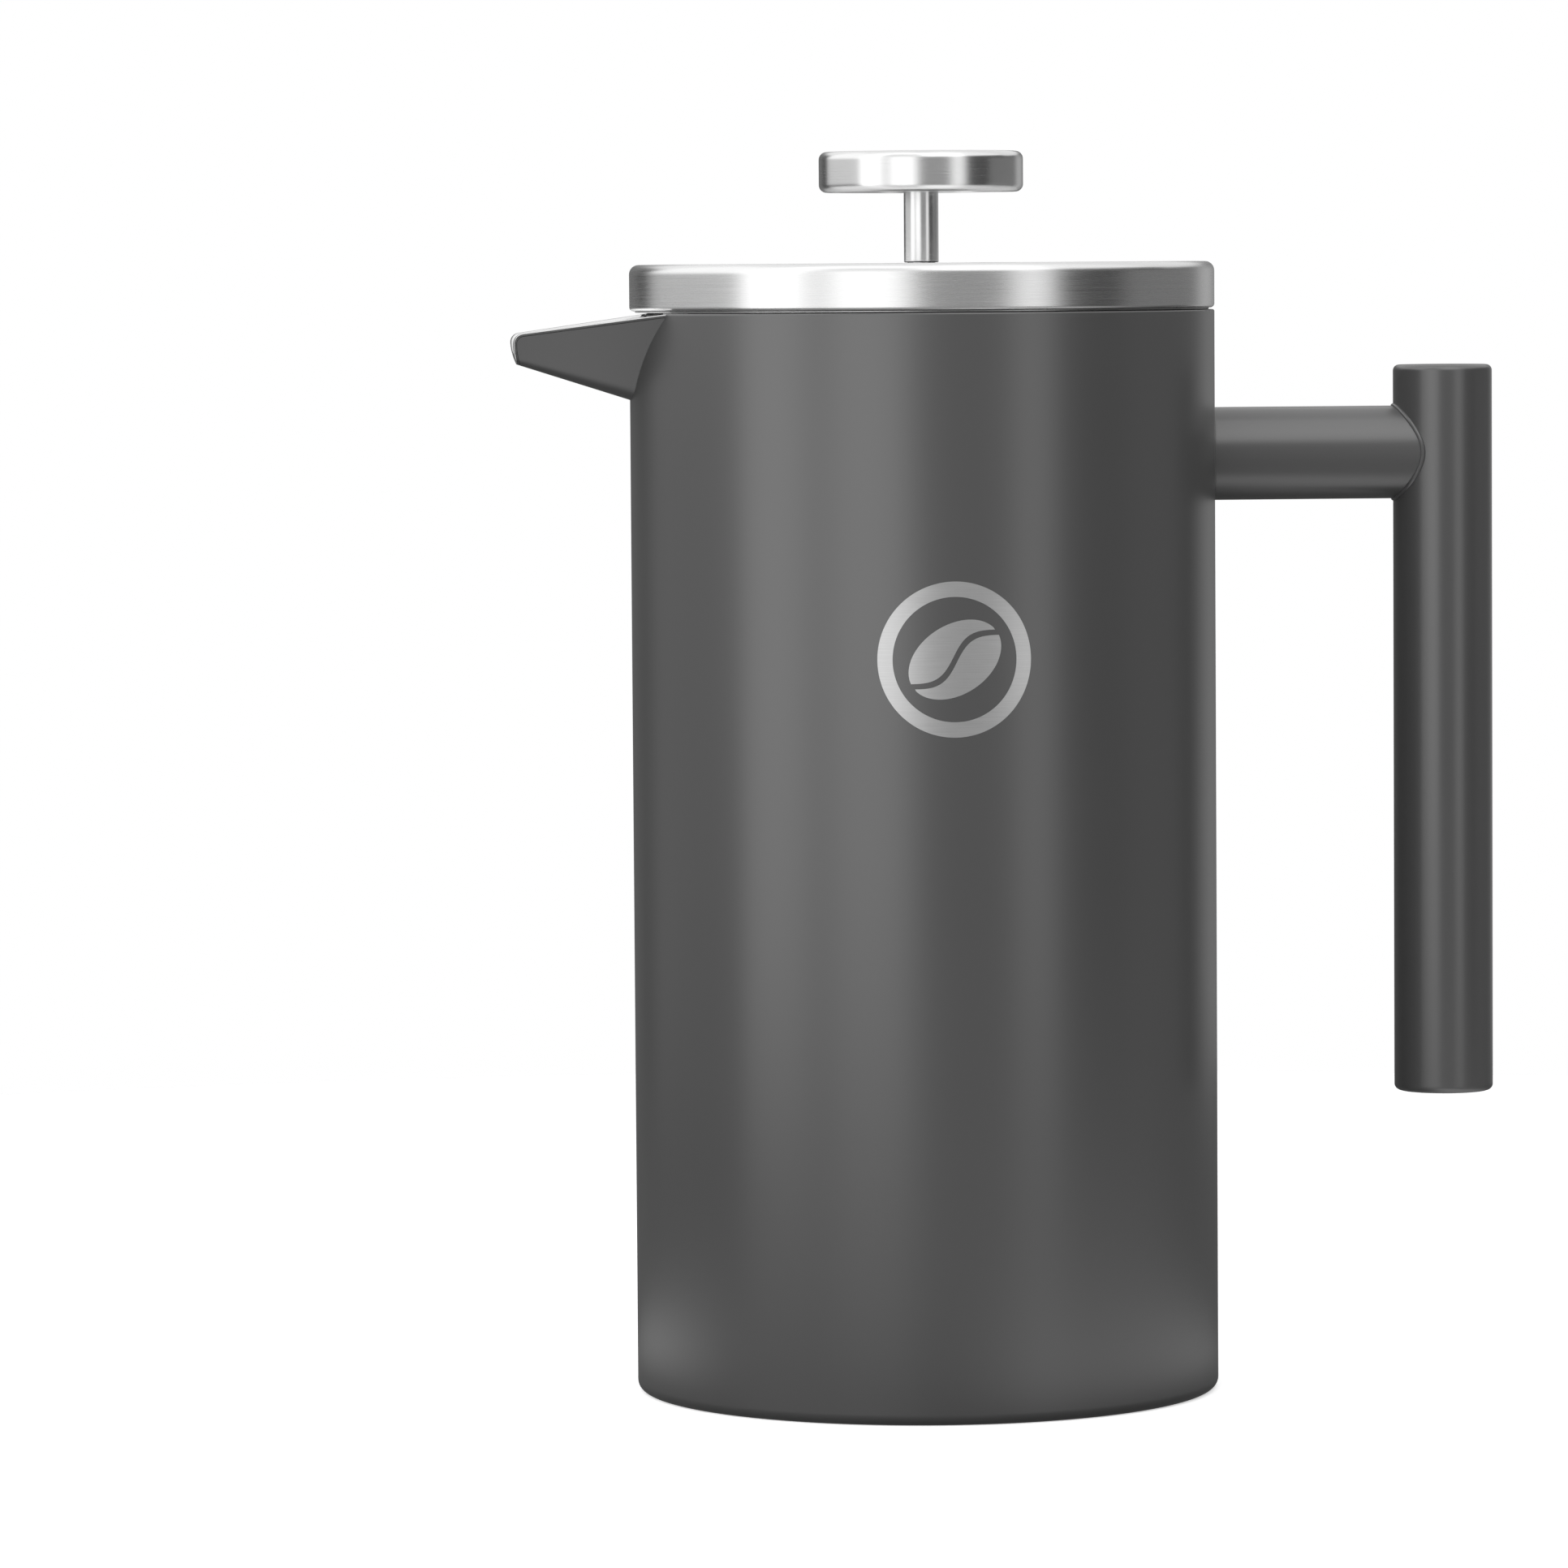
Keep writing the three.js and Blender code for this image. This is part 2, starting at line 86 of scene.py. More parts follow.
SHEET = 0.8  # pressed steel sheet
POT_RADIUS = high("outer_shell", Y)
RIM_Z = high("outer_shell", Z)
VESSEL_RADIUS = 48.2
VESSEL_FLOOR_Z = low("inner_vessel", Z)
LID_BOTTOM_Z = low("lid_cap", Z)
LID_TOP_Z = high("lid_cap", Z)
SKIRT_BOTTOM_Z = low("lid_liner", Z)
SKIRT_RADIUS = 46.9
KNOB_RADIUS = high("knob_shell", Y)
KNOB_BOTTOM_Z = low("knob_shell", Z)
KNOB_TOP_Z = high("knob_shell", Z)
NECK_RADIUS = high("knob_neck", Y)
ROD_RADIUS = high("plunger_rod", Y)
BAR_RADIUS = high("handle_bar", Y)
BAR_X = high("handle_bar", X) - BAR_RADIUS
ARM_HALF_DEPTH = high("handle_arm", Y)  # the arm is a slightly flattened tube
ARM_HALF_HEIGHT = (high("handle_arm", Z) - low("handle_arm", Z)) / 2
ARM_Z = (low("handle_arm", Z) + high("handle_arm", Z)) / 2
FIT = 0.15  # gap round a piece that sits in another
ROD_HOLE = ROD_RADIUS + 0.1  # radius of what the rod passes through

AROUND = 192  # sides of the wide round pieces
AROUND_SMALL = 64  # and of the slim ones
ARC_STEPS = 8  # straight steps in a fillet
SUPPORT = 0.25  # distance of the points beside a fillet that keep a long wall's shading straight
ON_AXIS = 1e-6  # a smaller radius is on the axis
PAST = 1.0  # how far a hole's cutter sticks out of the plate

# ---- mesh tools


def rounded_corner(before, corner, after, radius, steps):
    """The arc that rounds a corner off, tangent to both of its sides."""
    to_before = (before - corner).normalized()
    to_after = (after - corner).normalized()
    half = to_before.angle(to_after) / 2
    centre = corner + (to_before + to_after).normalized() * (radius / sin(half))
    start = corner + to_before * (radius / tan(half)) - centre
    end = corner + to_after * (radius / tan(half)) - centre
    turn = atan2(start.x * end.y - start.y * end.x, start.dot(end))
    return [centre + Matrix.Rotation(turn * i / steps, 2) @ start for i in range(steps + 1)]


def outline(corners, steps):
    """Outline points from corners written as (radius, height) or (radius, height, fillet)."""
    points = [Vector(corner[:2]) for corner in corners]
    run = []
    for i, corner in enumerate(corners):
        if len(corner) > 2:
            before, after = points[i - 1], points[(i + 1) % len(points)]
            run += rounded_corner(before, points[i], after, corner[2], steps)
        else:
            run.append(points[i])
    supported = [run[0]]
    for start, end in zip(run, run[1:]):
        along = (end - start).normalized() * SUPPORT
        if (end - start).length > 4 * SUPPORT:
            supported += [start + along, end - along]
        supported.append(end)
    return supported


def skin(bm, rows, close_rows=False, close_columns=False):
    """Quads between rows of vertices. Vertices that repeat leave triangles or nothing."""
    rows = rows + rows[:1] if close_rows else rows
    for lower, upper in zip(rows, rows[1:]):
        count = len(lower)
        for i in range(count if close_columns else count - 1):
            j = (i + 1) % count
            corners = list(dict.fromkeys([lower[i], lower[j], upper[j], upper[i]]))
            if len(corners) > 2:
                bm.faces.new(corners)


def lathe(corners, around=AROUND, steps=ARC_STEPS, at=(0, 0)):
    """Turns an outline, which runs anticlockwise seen with the axis to its left, round that axis."""
    bm = bmesh.new()
    points = outline(corners, steps)
    rows = []
    for radius, z in points:
        if radius < ON_AXIS:
            rows.append([bm.verts.new((at[0] * MM, at[1] * MM, z * MM))] * around)
            continue
        angles = [2 * pi * i / around for i in range(around)]
        places = [(at[0] + radius * cos(a), at[1] + radius * sin(a)) for a in angles]
        rows.append([bm.verts.new((x * MM, y * MM, z * MM)) for x, y in places])
    on_axis = max(points[0].x, points[-1].x) < ON_AXIS
    skin(bm, rows, close_rows=not on_axis, close_columns=True)
    return bm


def ring(inner, outer, bottom, top, edge=0.12, around=AROUND):
    """A washer or tube with slightly rounded edges."""
    corners = [(inner, bottom, edge), (outer, bottom, edge), (outer, top, edge), (inner, top, edge)]
    return lathe(corners, around, steps=3)


def hole_cutter(radius, bottom, top, around=AROUND_SMALL, at=(0, 0)):
    """A round bar that reaches past a plate on both sides."""
    low_end = bottom - PAST
    high_end = top + PAST
    corners = [(0, low_end), (radius, low_end), (radius, high_end), (0, high_end)]
    return lathe(corners, around, at=at)


def grid_solid(outer, inner, closed=False):
    """A solid sheet between two grids of points. In a closed grid the last row joins the first."""
    bm = bmesh.new()
    front = [[bm.verts.new(Vector(p) * MM) for p in row] for row in outer]
    back = [[bm.verts.new(Vector(p) * MM) for p in row] for row in inner]
    skin(bm, front, close_rows=closed)
    skin(bm, back, close_rows=closed)
    for column in (0, -1):
        edge = [[front_row[column], back_row[column]] for front_row, back_row in zip(front, back)]
        skin(bm, edge, close_rows=closed)
    if not closed:
        skin(bm, [front[0], back[0]])
        skin(bm, [front[-1], back[-1]])
    return bm


def hoop(frames, section):
    """A section of (across, along-normal) points carried round frames of (point, across, normal)."""
    bm = bmesh.new()
    rows = [
        [bm.verts.new((point + across * a + normal * n) * MM) for a, n in section]
        for point, across, normal in frames
    ]
    skin(bm, rows, close_rows=True, close_columns=True)
    return bm


def circle(radius, steps=10):
    """A round section."""
    angles = [2 * pi * i / steps for i in range(steps)]
    return [(radius * cos(a), radius * sin(a)) for a in angles]


def joined(*meshes):
    """Several meshes in one."""
    whole = bmesh.new()
    for bm in meshes:
        part = bpy.data.meshes.new("part")
        bm.to_mesh(part)
        bm.free()
        whole.from_mesh(part)
        bpy.data.meshes.remove(part)
    return whole


def mesh_object(name, bm):
    """A new object in the scene, which takes over the mesh."""
    mesh = bpy.data.meshes.new(name)
    bm.to_mesh(mesh)
    bm.free()
    obj = bpy.data.objects.new(name, mesh)
    bpy.context.scene.collection.objects.link(obj)
    return obj


def scratch_object(bm):
    """An object that is only needed for a moment."""
    bmesh.ops.recalc_face_normals(bm, faces=bm.faces)
    return mesh_object("scratch", bm)


def cut(bm, *tools):
    """The mesh with every tool cut out of it."""
    obj = scratch_object(bm)
    cutters = [scratch_object(tool) for tool in tools]
    for cutter in cutters:
        modifier = obj.modifiers.new("cut", "BOOLEAN")
        modifier.operation = "DIFFERENCE"
        modifier.solver = "EXACT"
        modifier.object = cutter
    bpy.context.view_layer.update()
    result = bmesh.new()
    result.from_mesh(obj.evaluated_get(bpy.context.evaluated_depsgraph_get()).to_mesh())
    for used in [obj, *cutters]:
        mesh = used.data
        bpy.data.objects.remove(used)
        bpy.data.meshes.remove(mesh)
    return result


def ring_of_holes(bottom, top, count, out, radius, around):
    """The cutters of a ring of holes, so far out from the axis, as one mesh."""
    angles = [2 * pi * i / count for i in range(count)]
    places = [(out * cos(a), out * sin(a)) for a in angles]
    return joined(*[hole_cutter(radius, bottom, top, around, at) for at in places])


SHARP = radians(32)  # edges that turn more than this stay crisp


def piece(name, bm, material, slot, body, *nodes):
    """Finishes a mesh as a named piece that rides on a body and stands for CAD nodes."""
    bmesh.ops.recalc_face_normals(bm, faces=bm.faces)
    obj = mesh_object(name, bm)
    obj.data.shade_smooth()
    obj.data.set_sharp_from_angle(angle=SHARP)
    obj.data.materials.append(material)
    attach(obj, body)
    if nodes:
        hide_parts(*nodes)


# ---- materials


class Shader:
    """A material's node tree round its Principled shader."""

    def __init__(self, name, **values):
        self.material = bpy.data.materials.new(name)
        self.material.use_nodes = True
        self.tree = self.material.node_tree
        self.surface = self.tree.nodes["Principled BSDF"]
        for key, value in values.items():
            self.surface.inputs[key.replace("_", " ")].default_value = value

    def node(self, kind, *inputs, **settings):
        """Adds a node. Its inputs are sockets, values, or None to leave one as it is."""
        made = self.tree.nodes.new(kind)
        for key, value in settings.items():
            setattr(made, key, value)
        for socket, value in zip(made.inputs, inputs):
            if isinstance(value, bpy.types.NodeSocket):
                self.tree.links.new(value, socket)
            elif value is not None:
                socket.default_value = value
        return made

    def math(self, operation, *inputs):
        """The result of one piece of arithmetic."""
        return self.node("ShaderNodeMath", *inputs, operation=operation).outputs[0]

    def blend(self, low_value, high_value, factor):
        """A number that runs from low to high as the factor runs from 0 to 1."""
        return self.node("ShaderNodeMapRange", factor, 0, 1, low_value, high_value).outputs[0]

    def place(self):
        """The object's own coordinates, in metres: a vector, x, y and z."""
        vector = self.node("ShaderNodeTexCoord").outputs["Object"]
        split = self.node("ShaderNodeSeparateXYZ", vector)
        return vector, *split.outputs

    def noise(self, vector, scale, detail=3.0, roughness=0.55):
        """A cloudy pattern from 0 to 1. The scale is one over the size of its clouds."""
        made = self.node("ShaderNodeTexNoise")
        self.tree.links.new(vector, made.inputs["Vector"])
        made.inputs["Scale"].default_value = scale
        made.inputs["Detail"].default_value = detail
        made.inputs["Roughness"].default_value = roughness
        return made.outputs["Fac"]

    def colour(self, dark, light, factor):
        """Sets a base colour that runs from dark to light as the factor runs from 0 to 1."""
        ramp = self.node("ShaderNodeValToRGB", factor)
        ramp.color_ramp.elements[0].color = (*dark, 1)
        ramp.color_ramp.elements[1].color = (*light, 1)
        self.set("Base Color", ramp.outputs[0])

    def bump(self, height, depth, strength):
        """Depth is in millimetres."""
        made = self.node("ShaderNodeBump")
        made.inputs["Strength"].default_value = strength
        made.inputs["Distance"].default_value = depth * MM
        self.tree.links.new(height, made.inputs["Height"])
        self.set("Normal", made.outputs[0])

    def set(self, key, socket):
        """Feeds one of the surface's inputs."""
        self.tree.links.new(socket, self.surface.inputs[key])


def grey(value):
    """A colour without a hue."""
    return (value, value, value)


def paint():
    """Smooth satin powder coat: a very fine grain, and a gloss that drifts a little over the surface."""
    s = Shader("graphite_paint", Specular_IOR_Level=1.0)
    vector, *_ = s.place()
    grain = s.noise(vector, 1 / (0.45 * MM), 2.0)
    drift = s.noise(vector, 1 / (70 * MM), 2.0)
    s.colour(grey(0.077), grey(0.084), drift)
    s.set("Roughness", s.blend(0.26, 0.31, drift))
    s.bump(grain, 0.012, 0.5)
    return s.material


def turned_steel(name, light, dark, roughness, spread, depth, streak=3.0, pitch=0.16):
    """Steel brushed round the vertical axis, with fine lines that ring the sides and the flat faces."""
    s = Shader(name, Metallic=1.0, Anisotropic=0.55, Anisotropic_Rotation=0.25)
    vector, x, y, z = s.place()
    square = s.math("ADD", s.math("MULTIPLY", x, x), s.math("MULTIPLY", y, y))
    radius = s.math("MAXIMUM", s.math("SQRT", square), 1e-5)
    across = s.math("SUBTRACT", z, radius)
    around_x = s.math("MULTIPLY", s.math("DIVIDE", x, radius), streak)
    around_y = s.math("MULTIPLY", s.math("DIVIDE", y, radius), streak)
    line = s.math("DIVIDE", across, pitch * MM)
    brush = s.node("ShaderNodeCombineXYZ", around_x, around_y, line).outputs[0]
    lines = s.noise(brush, 1.0, 4.0, 0.7)
    smudge = s.noise(vector, 1 / (35 * MM), 2.0)
    s.colour(grey(dark), grey(light), lines)
    wear = s.math("ADD", s.math("MULTIPLY", lines, spread), s.math("MULTIPLY", smudge, 0.05))
    s.set("Roughness", s.math("ADD", wear, roughness - spread / 2))
    s.bump(lines, depth, 0.6)
    tangent = s.node("ShaderNodeTangent", direction_type="RADIAL", axis="Z")
    s.set("Tangent", tangent.outputs[0])
    return s.material


def satin_steel(name, light, dark, roughness):
    """Plain drawn or tumbled steel with a fine even grain."""
    s = Shader(name, Metallic=1.0)
    vector, *_ = s.place()
    grain = s.noise(vector, 1 / (0.3 * MM), 3.0, 0.6)
    cloud = s.noise(vector, 1 / (18 * MM), 3.0)
    s.colour(grey(dark), grey(light), cloud)
    s.set("Roughness", s.math("ADD", s.math("MULTIPLY", cloud, 0.12), roughness - 0.06))
    s.bump(grain, 0.01, 0.5)
    return s.material


def woven_mesh():
    """Fine woven wire: two sets of wires that pass over and under each other, with painted shade in the
    openings between them.
    """
    s = Shader("screen_steel", Metallic=1.0)
    vector, x, y, z = s.place()
    pitch = 0.42 * MM
    wave_x = s.math("SINE", s.math("MULTIPLY", x, pi / pitch))
    wave_y = s.math("SINE", s.math("MULTIPLY", y, pi / pitch))
    wires = s.math("MAXIMUM", s.math("ABSOLUTE", wave_x), s.math("ABSOLUTE", wave_y))
    over = s.math("MULTIPLY", wave_x, wave_y)
    height = s.math("ADD", wires, s.math("MULTIPLY", over, 0.3))
    # painted shade: the openings between the wires are coloured near black, and the wires themselves light
    # grey
    wire_or_gap_shade = s.blend(0, 1, s.math("POWER", wires, 3.0))
    s.colour(grey(0.03), grey(0.55), wire_or_gap_shade)
    s.set("Roughness", s.blend(0.6, 0.35, wires))
    s.bump(height, 0.12, 0.8)
    return s.material


def nylon():
    """Black moulded nylon with a slight grain."""
    s = Shader("black_nylon")
    vector, *_ = s.place()
    grain = s.noise(vector, 1 / (0.6 * MM), 3.0)
    s.colour(grey(0.010), grey(0.018), grain)
    s.set("Roughness", s.blend(0.42, 0.55, grain))
    s.bump(grain, 0.02, 0.4)
    return s.material


PAINT = paint()
LID_STEEL = turned_steel("brushed_steel", 0.80, 0.68, 0.25, 0.22, 0.008, streak=2.0, pitch=0.13)
KNOB_STEEL = turned_steel("knob_steel", 0.80, 0.68, 0.22, 0.16, 0.006, streak=1.5, pitch=0.12)
EMBLEM_STEEL = turned_steel("emblem_steel", 0.74, 0.50, 0.36, 0.2, 0.008, streak=5.0, pitch=0.16)
VESSEL_STEEL = turned_steel("satin_steel", 0.66, 0.54, 0.34, 0.12, 0.006, pitch=0.3)
LIP_STEEL = satin_steel("lip_steel", 0.86, 0.78, 0.2)
PLATE_STEEL = satin_steel("plate_steel", 0.66, 0.56, 0.32)
WIRE_STEEL = satin_steel("spring_steel", 0.78, 0.68, 0.22)
MESH_STEEL = woven_mesh()
NYLON = nylon()

# ---- spout

SPOUT_SIDE = radians(46.8)  # of each side of the V, from the vertical
SPOUT_ROOT = {"at": 53.0, "keel": 10.2, "centre": 190.6}
SPOUT_TIP = {"at": 74.8, "keel": 4.7, "centre": 192.1}
SPOUT_RIM_AT = 48.5  # where the spout's rim is at SPOUT_RIM_Z, and from where it falls towards the tip
SPOUT_RIM_Z = 195.9
SPOUT_RIM_FALL = 0.133
NOSE_AT = 74.4
NOSE_ROUND = 1.8  # of the nose's top corners, seen from the side
NOSE_LEAST_ROUND = 0.3
NOSE_RAKE = 0.7  # how far the keel stands back from the nose
RAKE_START = 1.0  # how far below the keel's centre the nose starts to stand back
KEEL_SHARE = 0.4  # share of the section's parameter that the round keel takes
CORNER_STEPS = 12  # steps of that parameter over the nose's top corner
SIDE_STEPS = 4  # over the rest of the V's flat side
KEEL_STEPS = 8  # and over half of its keel
SPOUT_ROWS = 14
RIM_STEPS = 16

LIP = 0.15  # height of the bare steel lip that shows
LIP_BACK = 1.78  # its inner face, behind the spout's outside
LIP_LEG = 1.3  # how far down that face goes
LIP_LEG_BACK = 0.75  # where the leg's outer face is, behind the spout's outside
HEM = 0.32  # width of the painted hem below it
HEM_ROUND = 0.03
HEM_TAB = 0.4  # length of the tab that holds the hem in the wall
HEM_TAB_FRONT = 0.3  # where the tab's faces are, behind the spout's outside
HEM_TAB_BACK = 0.5
GROOVE = 0.06  # the line on each side of the hem
HEM_TOP = LIP + GROOVE
HEM_BOTTOM = HEM_TOP + HEM
WALL_EDGE = HEM_BOTTOM + GROOVE  # where the painted wall ends, below the spout's edge
CHANNEL_OUTSIDE = 1.1  # where the channel's faces are, behind the spout's outside
CHANNEL_INSIDE = 1.75
CHANNEL_EDGE = 0.35
WALL_ROOT = POT_RADIUS - 0.3  # radii where the pieces end towards the pot
LIP_ROOT = POT_RADIUS + 0.2
CHANNEL_ROOT = VESSEL_RADIUS - SHEET + 0.1
NOTCH_START = 38.0  # the notch in the pot's walls is cut from here
NOTCH_END = POT_RADIUS + 6  # to here
NOTCH_LIFT = 8.0  # and so far above the spout's rim


def spout_size(at):
    """Keel radius, keel centre height and rim height of the V section at a distance from the axis."""
    along = (at - SPOUT_ROOT["at"]) / (SPOUT_TIP["at"] - SPOUT_ROOT["at"])
    keel = SPOUT_ROOT["keel"] + (SPOUT_TIP["keel"] - SPOUT_ROOT["keel"]) * along
    centre = SPOUT_ROOT["centre"] + (SPOUT_TIP["centre"] - SPOUT_ROOT["centre"]) * along
    return keel, centre, SPOUT_RIM_Z - (at - SPOUT_RIM_AT) * SPOUT_RIM_FALL


def spout_point(at, s, inset=0.0, edge=0.0, lift=0.0):
    """A point of the V. s runs from -1 at one rim over 0 at the keel to 1 at the other rim."""
    keel, centre, top = spout_size(at)
    keel -= inset
    top += lift - edge
    side = copysign(1, s)
    if abs(s) <= KEEL_SHARE:
        angle = (pi / 2 - SPOUT_SIDE) * abs(s) / KEEL_SHARE
        return Vector((-at, side * keel * sin(angle), centre - keel * cos(angle)))
    apex = centre - keel / sin(SPOUT_SIDE)
    tangent = centre - keel * sin(SPOUT_SIDE)
    z = tangent + (top - tangent) * (abs(s) - KEEL_SHARE) / (1 - KEEL_SHARE)
    return Vector((-at, side * (z - apex) * tan(SPOUT_SIDE), z))


def nose_at(z, edge):
    """Distance of the nose from the axis at a height. Its top corner is tangent to the rim."""
    keel, centre, _ = spout_size(NOSE_AT)
    radius = max(NOSE_ROUND - edge, NOSE_LEAST_ROUND)
    corner_at = NOSE_AT - edge - radius
    _, _, rim = spout_size(corner_at)
    fall = atan(SPOUT_RIM_FALL)
    above = z - (rim - edge - radius / cos(fall))
    above = min(max(above, 0), radius * cos(fall))
    below = max(0, (centre - RAKE_START - z) / (keel - RAKE_START))
    return corner_at + sqrt(radius**2 - above**2) - NOSE_RAKE * min(below, 1) ** 2


def settle(start, step, repeats=12):
    """Repeats a step until its value has settled."""
    value = start
    for _ in range(repeats):
        value = step(value)
    return value


def spout_end(s, edge, inset=0.0):
    """Where a line along the spout reaches the nose."""
    return settle(NOSE_AT - 1, lambda at: nose_at(spout_point(at, s, inset, edge).z, edge))


def spout_start(s, radius, edge, inset=0.0):
    """Where a line along the spout leaves a cylinder round the pot's axis."""
    return settle(radius, lambda at: sqrt(radius**2 - spout_point(at, s, inset, edge).y ** 2))


def spout_levels():
    """Values of s, close together where the nose is rounded."""
    keel, centre, top = spout_size(NOSE_AT - NOSE_ROUND)
    tangent = centre - keel * sin(SPOUT_SIDE)
    turns = [pi / 2 * i / CORNER_STEPS for i in range(CORNER_STEPS + 1)]
    drops = [NOSE_ROUND * (1 - cos(turn)) for turn in turns]
    corner = [1 - (1 - KEEL_SHARE) * drop / (top - tangent) for drop in drops]
    side = [corner[-1] + (KEEL_SHARE - corner[-1]) * i / SIDE_STEPS for i in range(1, SIDE_STEPS + 1)]
    keel_part = [KEEL_SHARE * (1 - i / KEEL_STEPS) for i in range(1, KEEL_STEPS)]
    half = corner + side + keel_part
    return [*half, 0.0, *[-s for s in half[::-1]]]


LEVELS = spout_levels()


def spout_grid(inset, edge, radius):
    """Points over the V from a cylinder round the pot's axis to the nose."""
    lines = [(spout_start(s, radius, edge, inset), spout_end(s, edge, inset)) for s in LEVELS]
    return [
        [
            spout_point(start + (end - start) * j / SPOUT_ROWS, s, inset, edge)
            for s, (start, end) in zip(LEVELS, lines)
        ]
        for j in range(SPOUT_ROWS + 1)
    ]


def edge_line(radius, edge, inset):
    """Points down one rim, round the nose and up the other, so far below the edge and behind the skin."""
    start, end = spout_start(1, radius, edge, inset), spout_end(1, edge, inset)
    rim = [start + (end - start) * j / RIM_STEPS for j in range(RIM_STEPS)]
    near = [spout_point(at, 1, inset, edge) for at in rim]
    nose = [spout_point(spout_end(s, edge, inset), s, inset, edge) for s in LEVELS]
    far = [spout_point(at, -1, inset, edge) for at in rim[::-1]]
    return near + nose + far


def edging(section, radius):
    """A strip along the spout's edge. Its section has (depth below the edge, inset behind the skin)."""
    bm = bmesh.new()
    strands = [
        [bm.verts.new(p * MM) for p in edge_line(radius, edge, inset)] for edge, inset in section
    ]
    skin(bm, strands, close_rows=True)
    bm.faces.new([strand[0] for strand in strands])
    bm.faces.new([strand[-1] for strand in strands])
    return bm


def spout_notch():
    """The solid inside the V, open at the top, that cuts the notch in the pot's walls."""
    bm = bmesh.new()
    for at in (NOTCH_START, NOTCH_END):
        for s in LEVELS:
            bm.verts.new(spout_point(at, s, SHEET, 0, NOTCH_LIFT) * MM)
    bmesh.ops.convex_hull(bm, input=bm.verts)
    return bm


def spout_wall():
    """The painted V itself."""
    outer = spout_grid(0, WALL_EDGE, WALL_ROOT)
    inner = spout_grid(SHEET, WALL_EDGE, WALL_ROOT)
    wall = grid_solid(outer, inner)
    piece("spout_wall", wall, PAINT, "graphite_paint", "pot", "spout_shell")


def spout_hem():
    """The narrow painted band above the wall, between two fine lines."""
    section = [
        (HEM_TOP, HEM_TAB_BACK),
        (HEM_TOP, HEM_ROUND),
        (HEM_TOP + HEM_ROUND, 0),
        (HEM_BOTTOM - HEM_ROUND, 0),
        (HEM_BOTTOM, HEM_ROUND),
        (HEM_BOTTOM, HEM_TAB_FRONT),
        (WALL_EDGE + HEM_TAB, HEM_TAB_FRONT),
        (WALL_EDGE + HEM_TAB, HEM_TAB_BACK),
    ]
    piece("spout_hem", edging(section, WALL_ROOT), PAINT, "graphite_paint", "pot")


def spout_lip():
    """The bare steel edge, with its corners rounded off, and the leg that goes down behind the wall."""
    section = [
        (LIP, LIP_LEG_BACK),
        (LIP, 0),
        (0.05, 0),
        (0, 0.1),
        (0, 1.5),
        (0.08, 1.7),
        (0.3, LIP_BACK),
        (LIP_LEG, LIP_BACK),
        (LIP_LEG, LIP_LEG_BACK),
    ]
    piece("spout_lip", edging(section, LIP_ROOT), LIP_STEEL, "brushed_steel", "pot")


def spout_channel():
    """The steel channel that the coffee runs through."""
    outer = spout_grid(CHANNEL_OUTSIDE, CHANNEL_EDGE, CHANNEL_ROOT)
    inner = spout_grid(CHANNEL_INSIDE, CHANNEL_EDGE, CHANNEL_ROOT)
    channel = grid_solid(outer, inner)
    piece("spout_channel", channel, LIP_STEEL, "brushed_steel", "pot", "spout_liner")


# ---- pot

FOOT_RADIUS = 48.0  # where the turned-in foot ends
FOOT_FILLET = 1.8
VESSEL_FILLET = 6.0
BASE_Z = 0.35  # height of the base plate's face above the table
BASE_LOW_Z = 0.05  # and of its bead and its edge
BASE_TOP_Z = SHEET + 0.4
BASE_ROUND = 0.3
BASE_EDGE = 1.2  # how far in from the foot the plate's edge starts to turn down
BEAD_INNER = 34.0  # radii of the pressed bead that stiffens the plate
BEAD_OUTER = 39.0
BEAD_SLOPE = 1.0
DIMPLE_RADIUS = 6.0
DIMPLE_SLOPE = 0.8
DIMPLE_DEPTH = 0.25


def pot_shell():
    """The painted outside wall, with its foot turned in."""
    inside = POT_RADIUS - SHEET
    corners = [
        (FOOT_RADIUS, 0, 0.2),
        (POT_RADIUS, 0, FOOT_FILLET),
        (POT_RADIUS, RIM_Z, 0.35),
        (inside, RIM_Z),
        (inside, SHEET, 1.0),
        (FOOT_RADIUS, SHEET),
    ]
    shell = lathe(corners)
    piece("pot_shell", cut(shell, spout_notch()), PAINT, "graphite_paint", "pot", "outer_shell")


def pot_vessel():
    """The steel vessel that holds the coffee. Its flange closes the gap between the walls at the rim."""
    inside = VESSEL_RADIUS - SHEET
    flange = POT_RADIUS - SHEET - FIT
    corners = [
        (0, VESSEL_FLOOR_Z),
        (VESSEL_RADIUS, VESSEL_FLOOR_Z, VESSEL_FILLET),
        (VESSEL_RADIUS, RIM_Z - SHEET, 0.4),
        (flange, RIM_Z - SHEET),
        (flange, RIM_Z, 0.2),
        (inside, RIM_Z, 0.7),
        (inside, VESSEL_FLOOR_Z + SHEET, VESSEL_FILLET - SHEET),
        (0, VESSEL_FLOOR_Z + SHEET),
    ]
    vessel = lathe(corners)
    notched = cut(vessel, spout_notch())
    piece("pot_vessel", notched, VESSEL_STEEL, "satin_steel", "pot", "inner_vessel")


